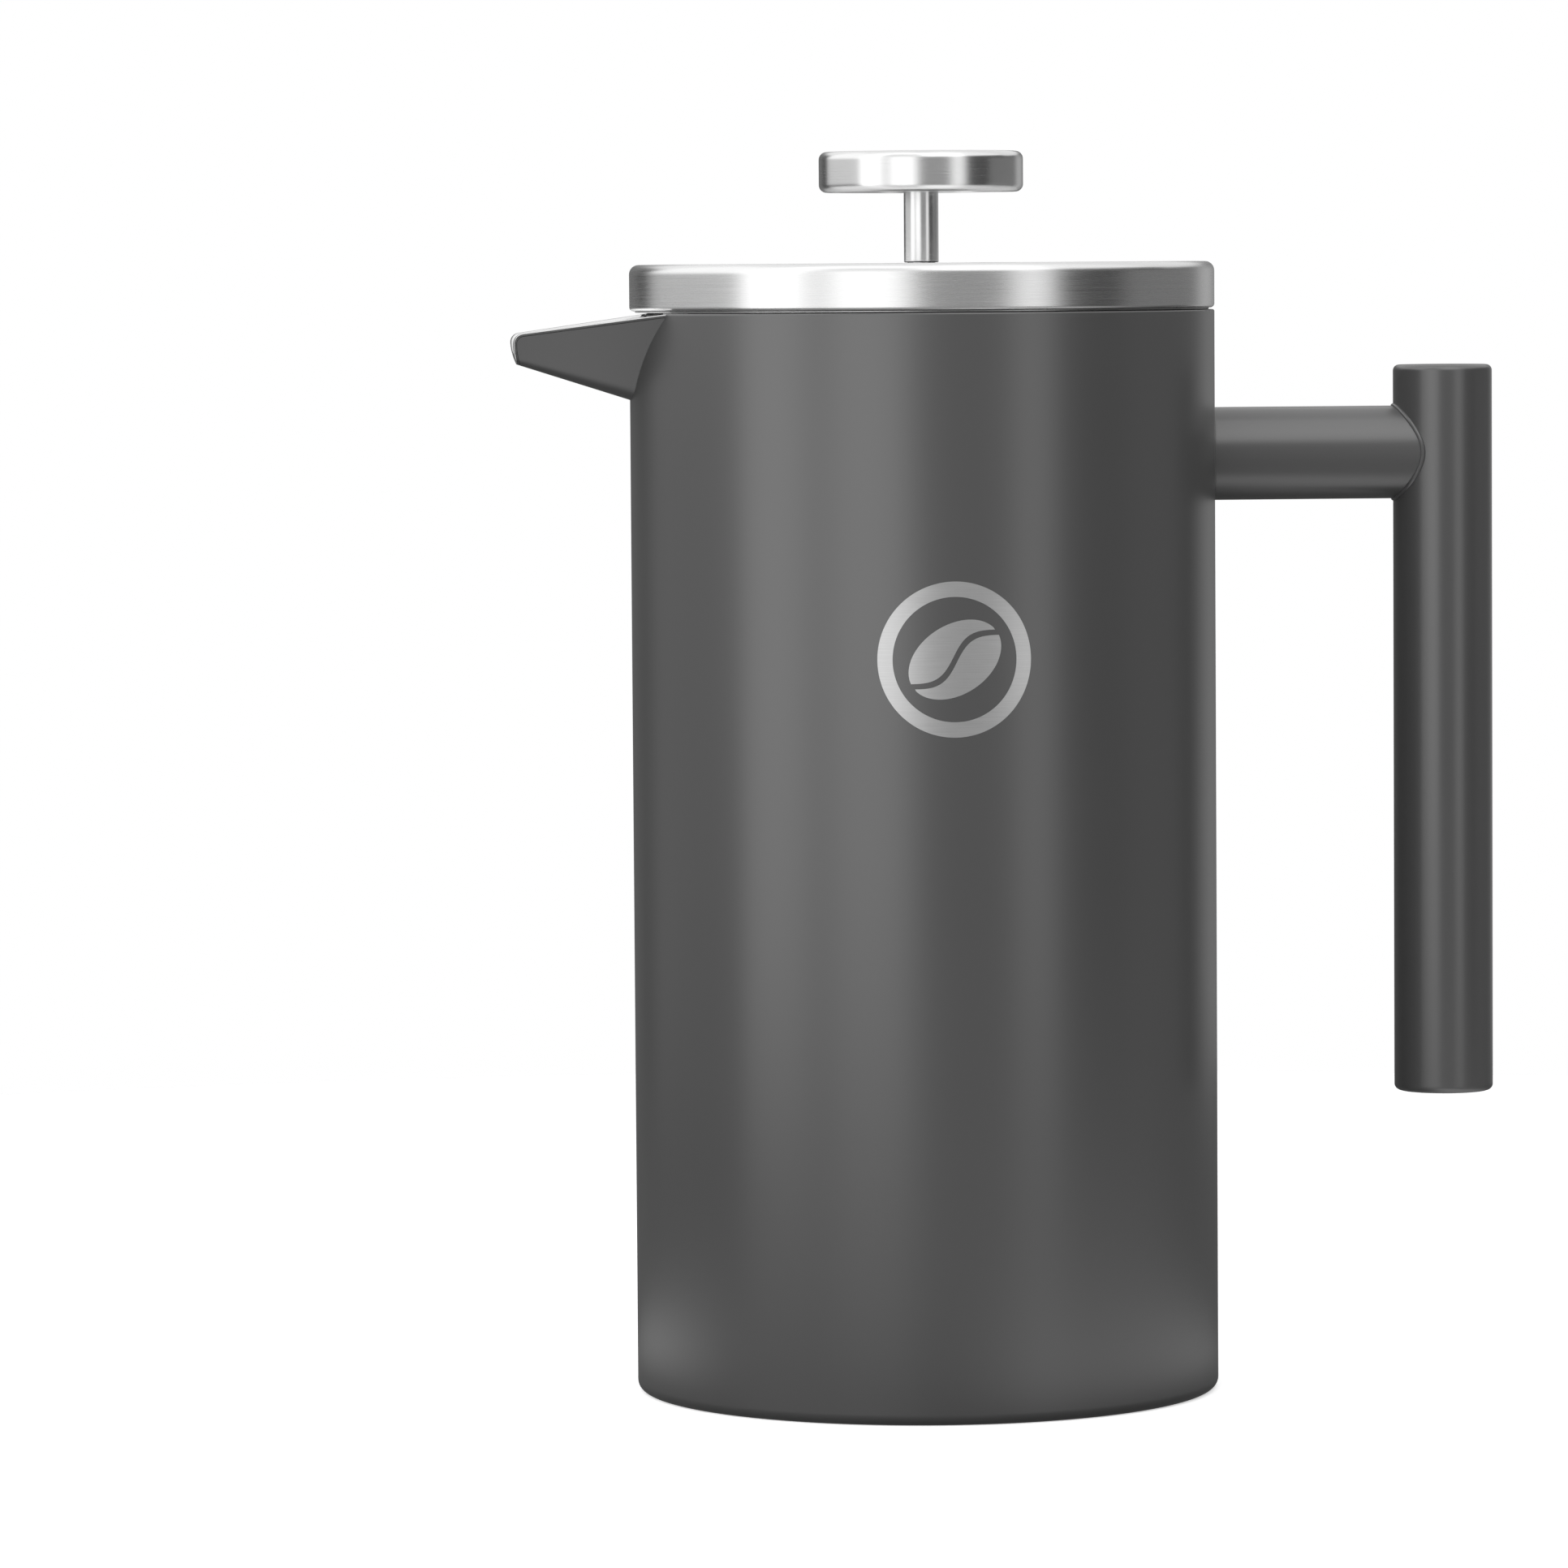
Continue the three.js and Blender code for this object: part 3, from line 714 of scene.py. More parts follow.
def pot_base():
    """The plate that closes the gap between the walls from below, with a dimple and a pressed bead."""
    dimple_z = BASE_Z + DIMPLE_DEPTH
    edge = FOOT_RADIUS - FIT
    corners = [
        (0, dimple_z),
        (DIMPLE_RADIUS, dimple_z, BASE_ROUND),
        (DIMPLE_RADIUS + DIMPLE_SLOPE, BASE_Z, BASE_ROUND),
        (BEAD_INNER, BASE_Z, BASE_ROUND),
        (BEAD_INNER + BEAD_SLOPE, BASE_LOW_Z, BASE_ROUND),
        (BEAD_OUTER - BEAD_SLOPE, BASE_LOW_Z, BASE_ROUND),
        (BEAD_OUTER, BASE_Z, BASE_ROUND),
        (FOOT_RADIUS - BASE_EDGE, BASE_Z, 0.2),
        (edge, BASE_LOW_Z, 0.1),
        (edge, BASE_TOP_Z),
        (0, BASE_TOP_Z),
    ]
    base = lathe(corners, steps=4)
    piece("pot_base", base, PLATE_STEEL, "satin_steel", "pot", "base_plate")


# ---- handle

HANDLE_WALL = 1.2
BAR_FILLET = 1.1
ARM_ROWS = 4
POT_SINK = 0.3  # how far the arm's ends go into the pot and into the bar
BAR_SINK = 0.2
POT_BEAD = 0.2  # radii of the weld beads there
BAR_BEAD = 0.45


def arm_end(y, sink=0.0):
    """Where the arm meets the grip bar, at a sideways distance from its axis."""
    return BAR_X - sqrt(BAR_RADIUS**2 - y**2) + sink


def arm_start(y, sink=0.0):
    """Where the arm meets the pot, at a sideways distance from its axis."""
    return sqrt(POT_RADIUS**2 - y**2) - sink


def arm_section(angle, inset=0.0):
    """A point (y, z) of the arm's oval section, from its centre."""
    return (ARM_HALF_DEPTH - inset) * cos(angle), (ARM_HALF_HEIGHT - inset) * sin(angle)


def arm_tube(inset):
    """Rows of points from the pot to the bar, so far inside the arm's outside."""
    tube = []
    for j in range(ARM_ROWS + 1):
        row = []
        for i in range(AROUND_SMALL * 2):
            y, z = arm_section(pi * i / AROUND_SMALL, inset)
            start = arm_start(y, POT_SINK)
            end = arm_end(y, BAR_SINK)
            row.append((start + (end - start) * j / ARM_ROWS, y, ARM_Z + z))
        tube.append(row)
    return tube


def grip_arm():
    """The hollow arm."""
    bm = bmesh.new()
    outer, inner = (
        [[bm.verts.new(Vector(p) * MM) for p in row] for row in arm_tube(inset)]
        for inset in (0, HANDLE_WALL)
    )
    skin(bm, outer + inner[::-1], close_rows=True, close_columns=True)
    piece("grip_arm", bm, PAINT, "graphite_paint", "pot", "handle_arm")


def seam(place, bead):
    """A small weld bead round the arm, where it meets another round piece."""
    frames = []
    for i in range(AROUND):
        angle = 2 * pi * i / AROUND
        y, z = arm_section(angle)
        outward = Vector((0, cos(angle), sin(angle)))
        frames.append((Vector((place(y), y, ARM_Z + z)), Vector((1, 0, 0)), outward))
    return hoop(frames, circle(bead))


def grip_welds():
    """The beads at both of the arm's ends."""
    seams = joined(seam(arm_end, BAR_BEAD), seam(arm_start, POT_BEAD))
    piece("grip_welds", seams, PAINT, "graphite_paint", "pot")


def grip_bar():
    """The upright bar and its caps, which look like one piece under the paint."""
    bottom, top = low("handle_cap_bottom", Z), high("handle_cap_top", Z)
    corners = [
        (0, bottom),
        (BAR_RADIUS, bottom, BAR_FILLET),
        (BAR_RADIUS, top, BAR_FILLET),
        (0, top),
    ]
    bar = lathe(corners, around=AROUND_SMALL * 2, at=(BAR_X, 0))
    nodes = ("handle_bar", "handle_cap_top", "handle_cap_bottom")
    piece("grip_bar", bar, PAINT, "graphite_paint", "pot", *nodes)


# ---- lid

LID_FILLET = 1.7
LID_EDGE_ROUND = 0.7
LID_HOLE = 4.15
LID_AROUND = AROUND + 64
RIM_GAP = 0.05  # between the pot's rim and the plate that rests on it
LINER_Z = RIM_Z + RIM_GAP
LINER_TOP_Z = LINER_Z + SHEET
LINER_INSET = 0.2  # gap between the liner's edge and the cover's wall
GUIDE_STEM_RADIUS = 5.0
GUIDE_BORE = 2.7
GUIDE_SHOULDER_RADIUS = 6.0  # the guide's steps, from below
GUIDE_FLANGE_RADIUS = 8.0
GUIDE_COLLAR_RADIUS = 4.0
GUIDE_FLANGE = 1.0  # its thickness
GUIDE_GAP = 0.1  # between the guide and the two sheets that hold it
WASHER_GAP = 0.2
SKIRT_SLOTS = 13
SLOT_WIDTH = 2.0
SLOT_HEIGHT = 8.0
SLOT_PITCH = radians(4.6)
SLOT_FROM = SKIRT_RADIUS - 4  # the slots are cut between these radii
SLOT_TO = SKIRT_RADIUS + 3
SLOT_STEPS = 8  # in each rounded end
NUT_CHAMFER = 0.06  # share of the corner's radius
NUT_SLOPE = 0.6  # height of the chamfer over its width


def lid_cover():
    """The brushed cover: a flat disc with a turned-down wall and a hole for the guide."""
    inside = POT_RADIUS - SHEET
    corners = [
        (POT_RADIUS, LID_BOTTOM_Z, LID_EDGE_ROUND),
        (POT_RADIUS, LID_TOP_Z, LID_FILLET),
        (LID_HOLE, LID_TOP_Z, 0.15),
        (LID_HOLE, LID_TOP_Z - SHEET),
        (inside, LID_TOP_Z - SHEET, LID_FILLET - SHEET),
        (inside, LID_BOTTOM_Z, 0.2),
    ]
    cover = lathe(corners, around=LID_AROUND)
    piece("lid_cover", cover, LID_STEEL, "brushed_steel", "lid", "lid_cap")


def slot_tool(angle):
    """A rounded upright slot that cuts through the skirt."""
    half = SLOT_WIDTH / 2
    middle = (SKIRT_BOTTOM_Z + RIM_Z) / 2
    arc = [pi * i / SLOT_STEPS for i in range(SLOT_STEPS + 1)]
    top = [(half * cos(a), SLOT_HEIGHT / 2 - half + half * sin(a)) for a in arc]
    shape = top + [(-y, -z) for y, z in top]
    bm = bmesh.new()
    turn = Matrix.Rotation(angle, 3, "Z")
    rows = [
        [bm.verts.new(turn @ Vector((-r, y, middle + z)) * MM) for y, z in shape]
        for r in (SLOT_FROM, SLOT_TO)
    ]
    skin(bm, rows, close_columns=True)
    bm.faces.new(rows[0])
    bm.faces.new(rows[1][::-1])
    return bm


def lid_strainer():
    """The lid's underside, with a skirt that drops into the vessel and has slots towards the spout."""
    skirt_inside = SKIRT_RADIUS - SHEET
    edge = POT_RADIUS - SHEET - LINER_INSET
    hole = GUIDE_STEM_RADIUS + FIT
    corners = [
        (hole, LINER_Z),
        (skirt_inside, LINER_Z, 0.5),
        (skirt_inside, SKIRT_BOTTOM_Z, 0.2),
        (SKIRT_RADIUS, SKIRT_BOTTOM_Z, 0.2),
        (SKIRT_RADIUS, LINER_Z, 0.3),
        (edge, LINER_Z, 0.2),
        (edge, LINER_TOP_Z),
        (hole, LINER_TOP_Z),
    ]
    underside = lathe(corners)
    slots = [slot_tool((i - (SKIRT_SLOTS - 1) / 2) * SLOT_PITCH) for i in range(SKIRT_SLOTS)]
    strainer = cut(underside, *slots)
    piece("lid_strainer", strainer, VESSEL_STEEL, "satin_steel", "lid", "lid_liner")


def lid_bush():
    """The nylon guide that the rod slides in."""
    bottom = low("rod_guide", Z)
    shoulder_z = LINER_TOP_Z + GUIDE_GAP
    flange_top = LID_TOP_Z - SHEET - GUIDE_GAP
    flange_z = flange_top - GUIDE_FLANGE
    top = LID_TOP_Z - GUIDE_GAP
    corners = [
        (GUIDE_BORE, bottom, 0.3),
        (GUIDE_STEM_RADIUS, bottom, 0.5),
        (GUIDE_STEM_RADIUS, shoulder_z),
        (GUIDE_SHOULDER_RADIUS, shoulder_z),
        (GUIDE_SHOULDER_RADIUS, flange_z),
        (GUIDE_FLANGE_RADIUS, flange_z, 0.3),
        (GUIDE_FLANGE_RADIUS, flange_top, 0.3),
        (GUIDE_COLLAR_RADIUS, flange_top),
        (GUIDE_COLLAR_RADIUS, top, 0.3),
        (GUIDE_BORE, top, 0.2),
    ]
    guide = lathe(corners, around=AROUND_SMALL, steps=4)
    piece("lid_bush", guide, NYLON, "black_nylon", "lid", "rod_guide")


def ring_like(node, hole, edge=0.12):
    """A ring of a CAD node's outer size."""
    return ring(hole, high(node, Y), low(node, Z), high(node, Z), edge, AROUND_SMALL)


def hex_nut(node, hole):
    """A six-sided nut with chamfered corners, of a CAD nut's size."""
    bottom, top = low(node, Z), high(node, Z)
    corner = max(high(node, X), high(node, Y))
    chamfer = corner * NUT_CHAMFER
    corners = [
        (0, bottom),
        (corner - chamfer, bottom),
        (corner, bottom + chamfer * NUT_SLOPE),
        (corner, top - chamfer * NUT_SLOPE),
        (corner - chamfer, top),
        (0, top),
    ]
    prism = lathe(corners, around=6)
    bmesh.ops.rotate(prism, verts=prism.verts, matrix=Matrix.Rotation(pi / 6, 3, "Z"))
    return cut(prism, hole_cutter(hole, bottom, top))


def lid_fixings():
    """The washer and the nut that hold the guide."""
    washer = ring_like("guide_washer", GUIDE_STEM_RADIUS + WASHER_GAP)
    piece("lid_washer", washer, PLATE_STEEL, "satin_steel", "lid_seat", "guide_washer")
    nut = hex_nut("guide_nut", GUIDE_STEM_RADIUS + FIT)
    piece("lid_nut", nut, PLATE_STEEL, "satin_steel", "lid", "guide_nut")


# ---- knob and rod

KNOB_FILLET = 1.4
KNOB_INSIDE_FILLET = 0.6
KNOB_HEM = 1.9  # width of the edge that is turned in under the knob
KNOB_SEAM = 0.1  # gap between that edge and the knob's underside
NECK_LIFT = 0.12  # gap between the neck and the lid
NECK_SINK = 0.05  # how far the neck goes into the knob's underside
ROD_ROUND = 0.5


def knob_cap():
    """The knob's shell, with its edge turned in below."""
    inside = KNOB_RADIUS - SHEET
    edge = KNOB_RADIUS - KNOB_HEM
    corners = [
        (edge, KNOB_BOTTOM_Z, 0.15),
        (KNOB_RADIUS, KNOB_BOTTOM_Z, KNOB_FILLET),
        (KNOB_RADIUS, KNOB_TOP_Z, KNOB_FILLET),
        (0, KNOB_TOP_Z),
        (0, KNOB_TOP_Z - SHEET),
        (inside, KNOB_TOP_Z - SHEET, KNOB_INSIDE_FILLET),
        (inside, KNOB_BOTTOM_Z + SHEET, KNOB_INSIDE_FILLET),
        (edge, KNOB_BOTTOM_Z + SHEET),
    ]
    shell = lathe(corners)
    piece("knob_cap", shell, KNOB_STEEL, "brushed_steel", "plunger", "knob_shell")


def knob_fixings():
    """The knob's underside, the boss inside it and the neck below it."""
    plate_z = low("knob_base", Z)
    plate_radius = KNOB_RADIUS - KNOB_HEM - KNOB_SEAM
    plate = ring(ROD_HOLE, plate_radius, plate_z, plate_z + SHEET)
    piece("knob_underside", plate, KNOB_STEEL, "brushed_steel", "plunger", "knob_base")
    boss = ring_like("knob_insert", ROD_HOLE)
    piece("knob_boss", boss, PLATE_STEEL, "satin_steel", "plunger", "knob_insert")
    neck = ring(
        ROD_HOLE,
        NECK_RADIUS,
        LID_TOP_Z + NECK_LIFT,
        plate_z + NECK_SINK,
        edge=0.2,
        around=AROUND_SMALL,
    )
    piece("knob_sleeve", neck, KNOB_STEEL, "brushed_steel", "plunger", "knob_neck")


def press_rod():
    """The plain rod from the knob to the filter."""
    bottom, top = low("plunger_rod", Z), high("plunger_rod", Z)
    corners = [
        (0, bottom),
        (ROD_RADIUS, bottom, ROD_ROUND),
        (ROD_RADIUS, top, ROD_ROUND),
        (0, top),
    ]
    rod = lathe(corners, around=AROUND_SMALL, steps=4)
    piece("press_rod", rod, LIP_STEEL, "brushed_steel", "plunger", "plunger_rod")


# ---- filter

SPRING_TURNS = 250
SPRING_WIRE = 0.22
SPRING_STEPS = 12  # points in each turn of the coil
# Each ring of holes: how many, how far out, their radius, and their sides.
DISH_HOLES = (10, 28, 4.5, 32)
DISH_SMALL_HOLES = (10, 15, 2.2, 24)
CROSS_HOLES = (8, 29, 8, 48)
CROSS_SMALL_HOLES = (8, 14, 2.5, 24)
MESH_SHEET = 0.25  # thickness of a screen at its edge
CRIMP = 0.2  # how far its edge is pressed down
CRIMP_START = 3.0  # how far in from its edge the crimp starts
CRIMP_END = 1.2  # and ends


def filter_dish():
    """The perforated dish with a turned-up lip that carries the coil."""
    bottom, lip_top = low("spring_plate", Z), high("spring_plate", Z)
    radius = high("spring_plate", Y)
    top = bottom + SHEET
    corners = [
        (ROD_HOLE, bottom, 0.1),
        (radius, bottom, 0.7),
        (radius, lip_top, 0.3),
        (radius - SHEET, lip_top, 0.3),
        (radius - SHEET, top, 0.3),
        (ROD_HOLE, top, 0.1),
    ]
    plate = lathe(corners, steps=4)
    holes = ring_of_holes(bottom, top, *DISH_HOLES)
    small = ring_of_holes(bottom, top, *DISH_SMALL_HOLES)
    dish = cut(plate, holes, small)
    piece("filter_dish", dish, PLATE_STEEL, "satin_steel", "plunger", "spring_plate")


def filter_coil():
    """The wire spring that runs round the filter's edge."""
    middle = (low("edge_spring", Z) + high("edge_spring", Z)) / 2
    coil_radius = (high("edge_spring", Z) - low("edge_spring", Z)) / 2 - SPRING_WIRE
    ring_radius = high("edge_spring", Y) - coil_radius - SPRING_WIRE
    frames = []
    for i in range(SPRING_TURNS * SPRING_STEPS):
        turn = 2 * pi * i / (SPRING_TURNS * SPRING_STEPS)
        wind = 2 * pi * i / SPRING_STEPS
        out = Vector((cos(turn), sin(turn), 0))
        sideways = Vector((-sin(turn), cos(turn), 0))
        normal = out * cos(wind) + Vector((0, 0, 1)) * sin(wind)
        centre = out * ring_radius + Vector((0, 0, middle)) + normal * coil_radius
        frames.append((centre, sideways, normal))
    coil = hoop(frames, circle(SPRING_WIRE, 6))
    piece("filter_coil", coil, WIRE_STEEL, "spring_steel", "plunger", "edge_spring")


def screen(node):
    """A mesh disc with a crimped edge."""
    bottom, top = low(node, Z), high(node, Z)
    radius = high(node, Y)
    corners = [
        (ROD_HOLE, bottom + CRIMP),
        (radius - CRIMP_START, bottom + CRIMP),
        (radius - CRIMP_END, bottom, 0.5),
        (radius, bottom, 0.1),
        (radius, bottom + MESH_SHEET, 0.1),
        (radius - CRIMP_END, bottom + MESH_SHEET, 0.5),
        (radius - CRIMP_START, top),
        (ROD_HOLE, top),
    ]
    return lathe(corners, steps=3)


def filter_screens():
    """The two woven screens."""
    for node in ("screen_upper", "screen_lower"):
        name = node.replace("screen", "filter_mesh")
        piece(name, screen(node), MESH_STEEL, "screen_steel", "plunger", node)


def filter_cross():
    """The stiff perforated plate at the bottom."""
    bottom, top = low("cross_plate", Z), high("cross_plate", Z)
    radius = high("cross_plate", Y)
    corners = [
        (ROD_HOLE, bottom, 0.1),
        (radius, bottom, 0.4),
        (radius, top, 0.4),
        (ROD_HOLE, top, 0.1),
    ]
    plate = lathe(corners, steps=4)
    wide = ring_of_holes(bottom, top, *CROSS_HOLES)
    narrow = ring_of_holes(bottom, top, *CROSS_SMALL_HOLES)
    cross = cut(plate, wide, narrow)
    piece("filter_cross", cross, PLATE_STEEL, "satin_steel", "plunger", "cross_plate")


def filter_fixings():
    """The collar and the nut that hold the filter on the rod."""
    collar = ring_like("filter_collar", ROD_HOLE, edge=0.4)
    piece("filter_hub", collar, PLATE_STEEL, "satin_steel", "plunger", "filter_collar")
    nut = hex_nut("hub_nut", ROD_HOLE)
    piece("filter_nut", nut, PLATE_STEEL, "satin_steel", "plunger", "hub_nut")


# ---- emblem

EMBLEM_Z = 135.35
EMBLEM_RADIUS = 13.7
EMBLEM_RING = 2.7  # width of the ring
RING_STEPS = 3  # and the steps across it
EMBLEM_PROUD = 0.03
EMBLEM_SUNK = 0.1
BEAN_LONG = 8.9  # half its length
BEAN_WIDE = 6.1
BEAN_TILT = radians(32)
BEAN_CREASE = 0.55  # half the width of the gap along its middle
BEAN_BEND = 1.7  # how far the crease swings to each side
BEAN_REACH = 0.985  # how near the halves get to the bean's tips
BEAN_LEAST = 0.05  # and the width at which they stop
BEAN_STEPS = 40
BEAN_ACROSS = 10


def on_front(u, v, lift):
    """A point of the flat emblem wrapped on the front of the pot."""
    angle = -pi / 2 + u / POT_RADIUS
    radius = POT_RADIUS + lift
    return (radius * cos(angle), radius * sin(angle), EMBLEM_Z + v)


def wrapped(rows, closed=False):
    """A thin patch of bare steel from rows of flat (u, v) points."""
    top = [[on_front(u, v, EMBLEM_PROUD) for u, v in row] for row in rows]
    under = [[on_front(u, v, -EMBLEM_SUNK) for u, v in row] for row in rows]
    return grid_solid(top, under, closed)


def on_bean(p, q):
    """A flat (u, v) point of the tilted bean. p runs from -1 to 1 along it, and q goes across it."""
    u = p * BEAN_LONG * cos(BEAN_TILT) - q * sin(BEAN_TILT)
    v = p * BEAN_LONG * sin(BEAN_TILT) + q * cos(BEAN_TILT)
    return u, v


def bean_half(side):
    """One half of a coffee bean, between its crease and its outline."""
    rows = []
    for i in range(BEAN_STEPS + 1):
        p = sin(pi / 2 * BEAN_REACH * (2 * i / BEAN_STEPS - 1))
        outer = side * BEAN_WIDE * sqrt(1 - p**2)
        inner = BEAN_BEND * sin(pi * p) + side * BEAN_CREASE
        if side * (outer - inner) < BEAN_LEAST:
            continue
        steps = range(BEAN_ACROSS + 1)
        rows.append([on_bean(p, inner + (outer - inner) * j / BEAN_ACROSS) for j in steps])
    return wrapped(rows)


def emblem():
    """A plain coffee bean in a ring, left bare in the paint."""
    radii = [EMBLEM_RADIUS - EMBLEM_RING * j / RING_STEPS for j in range(RING_STEPS + 1)]
    rows = []
    for i in range(AROUND):
        angle = 2 * pi * i / AROUND
        rows.append([(r * cos(angle), r * sin(angle)) for r in radii])
    mark = joined(wrapped(rows, closed=True), bean_half(1), bean_half(-1))
    piece("front_emblem", mark, EMBLEM_STEEL, "brushed_steel", "pot")


# ---- stage, light and camera, in metres

CAMERA_PLACE = Vector((-0.15286, -1.45970, 0.20380))
CAMERA_HEADING = radians(4.980)  # to the right of +Y
CAMERA_PITCH = radians(3.643)  # downwards
CAMERA_ROLL = radians(-0.410)
CAMERA_LENS = 185.52  # in millimetres, as the sensor's width is
CAMERA_SENSOR = 36


def camera():
    """The photo's point of view."""
    data = bpy.data.cameras.new("camera")
    data.lens = CAMERA_LENS
    data.sensor_width = CAMERA_SENSOR
    obj = bpy.data.objects.new("camera", data)
    bpy.context.scene.collection.objects.link(obj)
    forward = Vector(
        (
            sin(CAMERA_HEADING) * cos(CAMERA_PITCH),
            cos(CAMERA_HEADING) * cos(CAMERA_PITCH),
            -sin(CAMERA_PITCH),
        )
    )
    level = Vector((cos(CAMERA_HEADING), -sin(CAMERA_HEADING), 0))
    upright = level.cross(forward)
    right = level * cos(CAMERA_ROLL) + upright * sin(CAMERA_ROLL)
    up = upright * cos(CAMERA_ROLL) - level * sin(CAMERA_ROLL)
    turn = Matrix((right, up, -forward)).transposed()
    obj.matrix_world = Matrix.Translation(CAMERA_PLACE) @ turn.to_4x4()
    bpy.context.scene.camera = obj


# A round light tent stands about the press. Its angles are in degrees, 0 towards the camera and positive
# towards the handle.
TENT_RADIUS = 0.6
TENT_HIGH = 1.08
TENT_FACING = atan2(CAMERA_PLACE.y, CAMERA_PLACE.x)
# Each softbox: its sides, their fades, its bottom and top, and its radiance.
SOFTBOXES = [
    ((-128, -72), (10, 6), (-1, 0.24), 0.25),
    ((-130, -72), (10, 6), (0.24, 2), 1.25),
    ((-72, -46), (6, 6), (-1, 2), 1.6),
    ((-46, -4), (6, 14), (-1, 0.45), 1.0),
    ((-33, -4), (8, 14), (-1, 0.4), 0.55),
    ((-46, 2), (6, 10), (0.45, 2), 0.9),
    ((-4, 34), (14, 8), (-1, 0.45), 0.24),
    ((34, 51), (10, 10), (-1, 0.45), 1.1),
    ((2, 54), (10, 10), (0.46, 2), 1.9),
    ((82, 165), (10, 12), (-1, 0.3), 0.15),
    ((134, 152), (10, 10), (-1, 0.4), 0.25),
    ((150, 215), (12, 12), (-1, 0.45), 0.1),
    ((54, 112), (10, 12), (0.5, 2), 1.1),
    ((112, 196), (12, 12), (0.4, 2), 0.9),
    ((196, 230), (12, 12), (0.45, 2), 1.0),
]
SOFT_STEP = 0.1  # height over which a softbox's top and bottom fade
FILL = 0.06  # what the tent's wall gives everywhere
# Each patch of light on the table: its sides, their fades, its radii, their fades, and its radiance.
TABLE_PATCHES = [
    ((20, 110), (50, 60), (0.085, 0.165), (0.04, 0.1), 0.9),  # beside the handle, close to the press
    ((-118, -68), (50, 50), (0.1, 0.165), (0.07, 0.08), 1.1),  # under the spout
    ((-40, 90), (40, 60), (0.125, 0.5), (0.04, 0.2), 0.22),  # farther out in front
]
BOUNCE = 0.12  # what the rest of the table gives
TOP_CENTRE = 0.75  # the middle of the ceiling
TOP_LIGHT = 1.05  # and the rest of it
TOP_RADII = (0.12, 0.7)  # where that is
TOP_BLURS = (0.16, 0.1)
FRONT_TOP = 0.65  # and what its brighter front adds
FRONT_SIDES = (-80, 80)
FRONT_FADES = (40, 40)
WALL_STEPS = 18  # rings of points up the tent's wall
TOP_STEPS = 10  # and from the axis to the wall on its ceiling
UNDER_STEPS = 40  # and below the floor
UNDER_Z = -0.001
AXIS_GAP = 0.001
FLOOR_RADIUS = 0.58


def smooth(x):
    """A soft step from 0 to 1."""
    x = min(max(x, 0), 1)
    return x * x * (3 - 2 * x)


def window(value, start, end, fade_in, fade_out):
    """One between start and end, with soft sides that pass a half there."""
    return smooth((value - start) / fade_in + 0.5) * smooth((end - value) / fade_out + 0.5)


def wall_light(angle, radius, z):
    """Radiance of the tent's wall at an angle in degrees and a height."""
    light = FILL
    for sides, fades, ends, radiance in SOFTBOXES:
        across = max(window(turn, *sides, *fades) for turn in (angle, angle + 360))
        light += radiance * across * window(z, *ends, SOFT_STEP, SOFT_STEP)
    return light


def table_light(angle, radius, z):
    """Radiance that comes up from the table."""
    light = BOUNCE
    for sides, fades, radii, blurs, radiance in TABLE_PATCHES:
        light += radiance * window(angle, *sides, *fades) * window(radius, *radii, *blurs)
    return light


def ceiling_light(angle, radius, z):
    """Radiance that comes down from the tent's top."""
    outer = window(radius, *TOP_RADII, *TOP_BLURS)
    front = FRONT_TOP * window(angle, *FRONT_SIDES, *FRONT_FADES)
    return TOP_CENTRE + (TOP_LIGHT - TOP_CENTRE + front) * outer


def glow_material(name):
    """An emitter whose strength is stored on its vertices."""
    material = bpy.data.materials.new(name)
    material.use_nodes = True
    tree = material.node_tree
    tree.nodes.clear()
    glow = tree.nodes.new("ShaderNodeAttribute")
    glow.attribute_name = "glow"
    emission = tree.nodes.new("ShaderNodeEmission")
    output = tree.nodes.new("ShaderNodeOutputMaterial")
    tree.links.new(glow.outputs["Fac"], emission.inputs["Strength"])
    tree.links.new(emission.outputs[0], output.inputs["Surface"])
    return material


def staged(name, bm, material):
    """An object that belongs to the stage and not to the press."""
    obj = mesh_object(name, bm)
    obj.data.materials.append(material)
    return obj


def glowing(name, rings, light, step=3):
    """A round surface of (radius, height) rings. Its light is asked for at (angle, radius, height)."""
    bm = bmesh.new()
    rows = []
    strengths = []
    for radius, z in rings:
        row = []
        for degrees in range(-180, 180, step):
            angle = TENT_FACING + radians(degrees)
            row.append(bm.verts.new((radius * cos(angle), radius * sin(angle), z)))
            strengths.append(light(degrees, radius, z))
        rows.append(row)
    skin(bm, rows, close_columns=True)
    obj = staged(name, bm, glow_material(name))
    glow = obj.data.attributes.new("glow", "FLOAT", "POINT")
    glow.data.foreach_set("value", strengths)
    obj.visible_camera = False


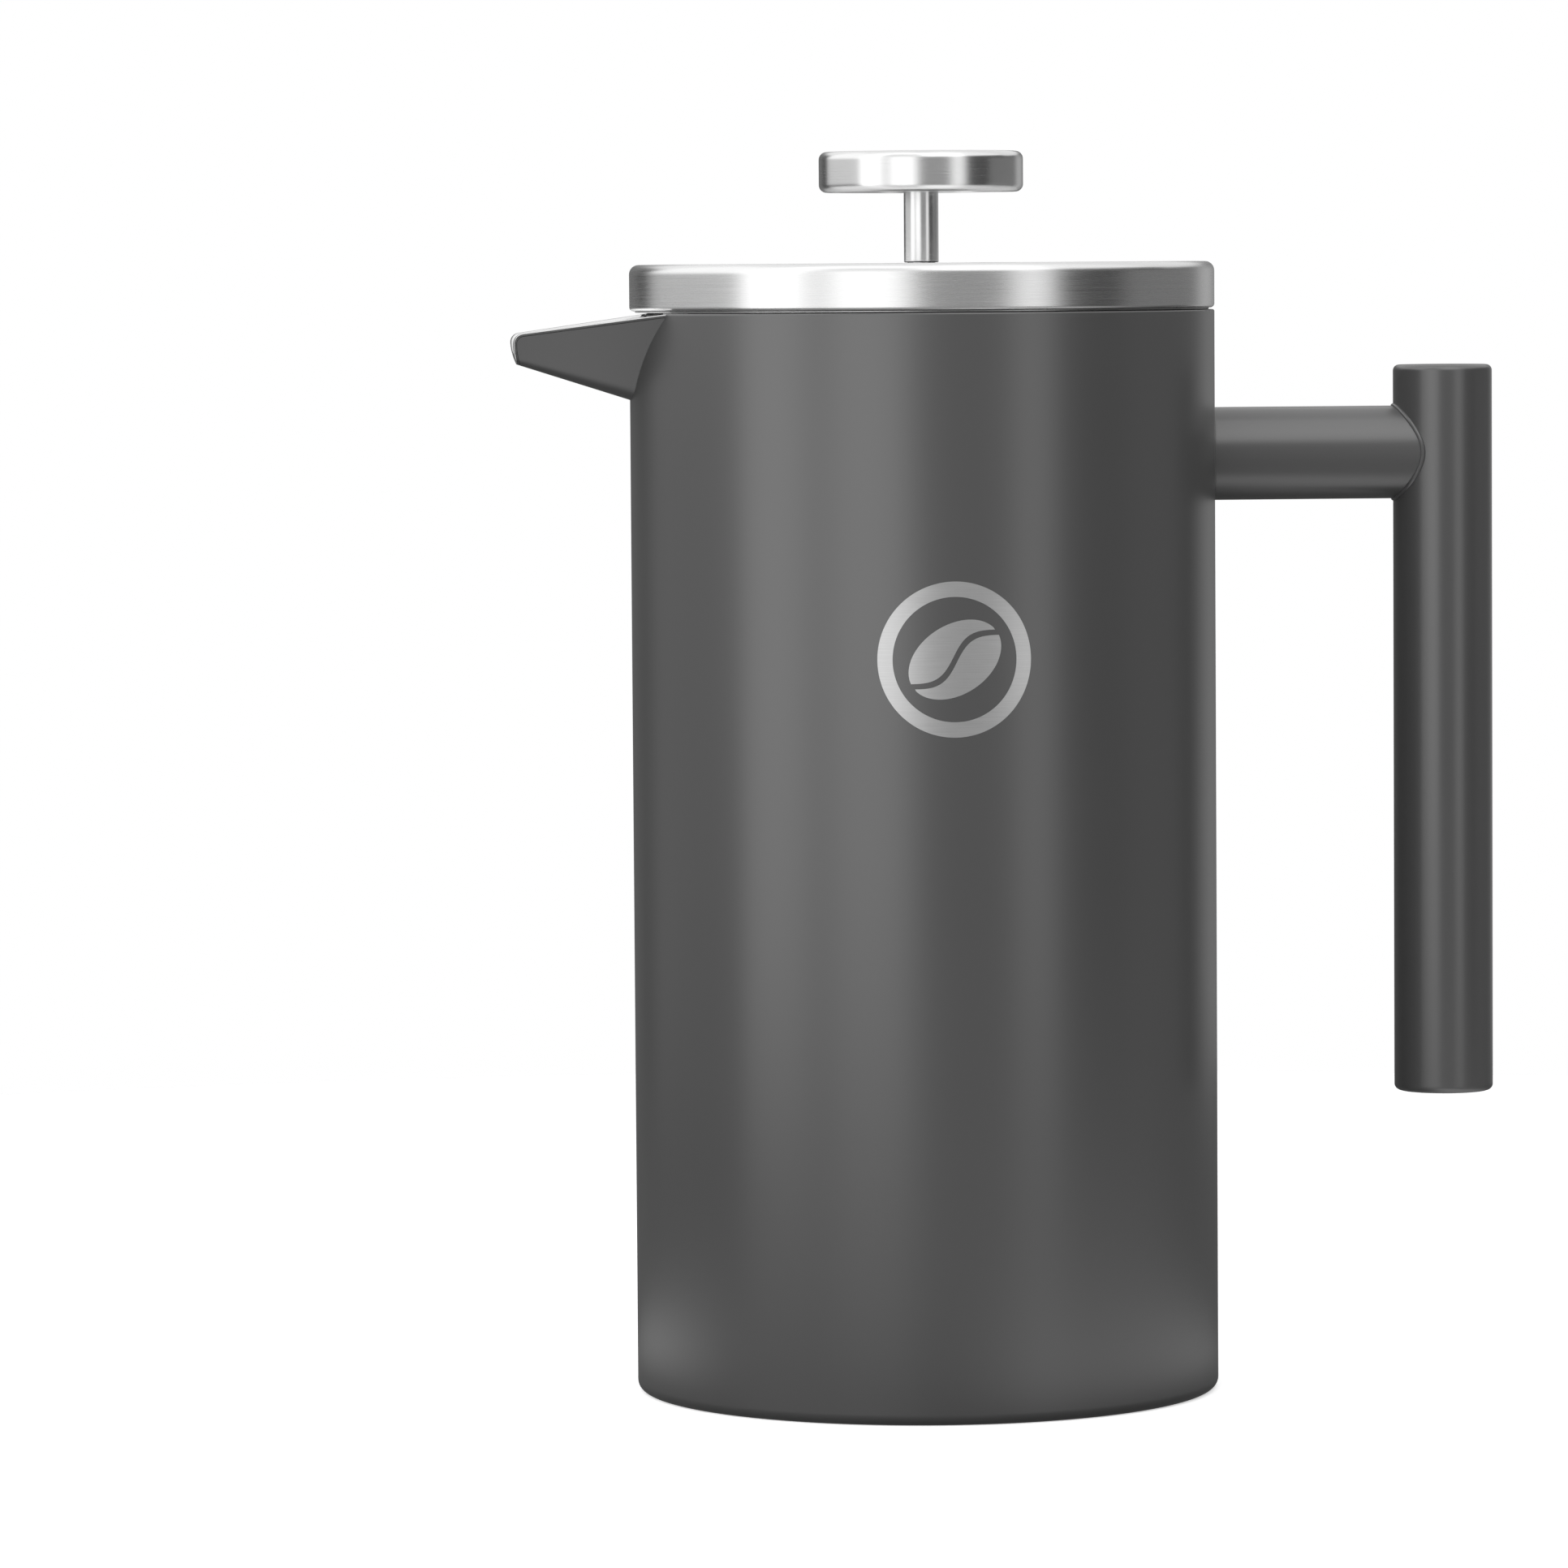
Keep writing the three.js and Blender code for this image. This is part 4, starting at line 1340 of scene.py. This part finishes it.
def flat_rings(steps, z):
    """Rings at one height from close to the axis to the tent's wall."""
    return [(TENT_RADIUS * i / steps + AXIS_GAP, z) for i in range(steps + 1)]


def light_tent():
    """The tent's wall and ceiling, and the light that comes up from the table."""
    wall = [(TENT_RADIUS, TENT_HIGH * i / WALL_STEPS) for i in range(WALL_STEPS + 1)]
    glowing("tent_wall", wall, wall_light)
    glowing("tent_top", flat_rings(TOP_STEPS, TENT_HIGH), ceiling_light, step=10)
    glowing("tent_under", flat_rings(UNDER_STEPS, UNDER_Z), table_light, step=10)


def floor():
    """Pale and lit evenly. What it throws back on the press comes from tent_under instead."""
    bm = bmesh.new()
    bmesh.ops.create_circle(bm, cap_ends=True, segments=96, radius=FLOOR_RADIUS)
    material = bpy.data.materials.new("pale_floor")
    material.use_nodes = True
    shader = material.node_tree.nodes["Principled BSDF"]
    shader.inputs["Base Color"].default_value = (0.9, 0.9, 0.9, 1)
    shader.inputs["Roughness"].default_value = 0.9
    shader.inputs["Specular IOR Level"].default_value = 0.0
    shader.inputs["Emission Color"].default_value = (1, 1, 1, 1)
    shader.inputs["Emission Strength"].default_value = 0.55
    obj = staged("floor", bm, material)
    obj.visible_diffuse = False
    obj.visible_glossy = False


def world():
    """White behind the press, and dark to everything else."""
    made = bpy.data.worlds.new("studio")
    bpy.context.scene.world = made
    made.use_nodes = True
    tree = made.node_tree
    background = tree.nodes["Background"]
    path = tree.nodes.new("ShaderNodeLightPath")
    background.inputs["Color"].default_value = (1, 1, 1, 1)
    tree.links.new(path.outputs["Is Camera Ray"], background.inputs["Strength"])


def stage():
    """What stands round the press, and how the picture is developed."""
    floor()
    light_tent()
    world()
    view = bpy.context.scene.view_settings
    view.view_transform = "Standard"
    view.look = "None"


# ---- the whole press

camera()
stage()
pot_shell()
pot_vessel()
pot_base()
spout_wall()
spout_hem()
spout_lip()
spout_channel()
grip_arm()
grip_welds()
grip_bar()
lid_cover()
lid_strainer()
lid_bush()
lid_fixings()
knob_cap()
knob_fixings()
press_rod()
filter_dish()
filter_coil()
filter_screens()
filter_cross()
filter_fixings()
emblem()
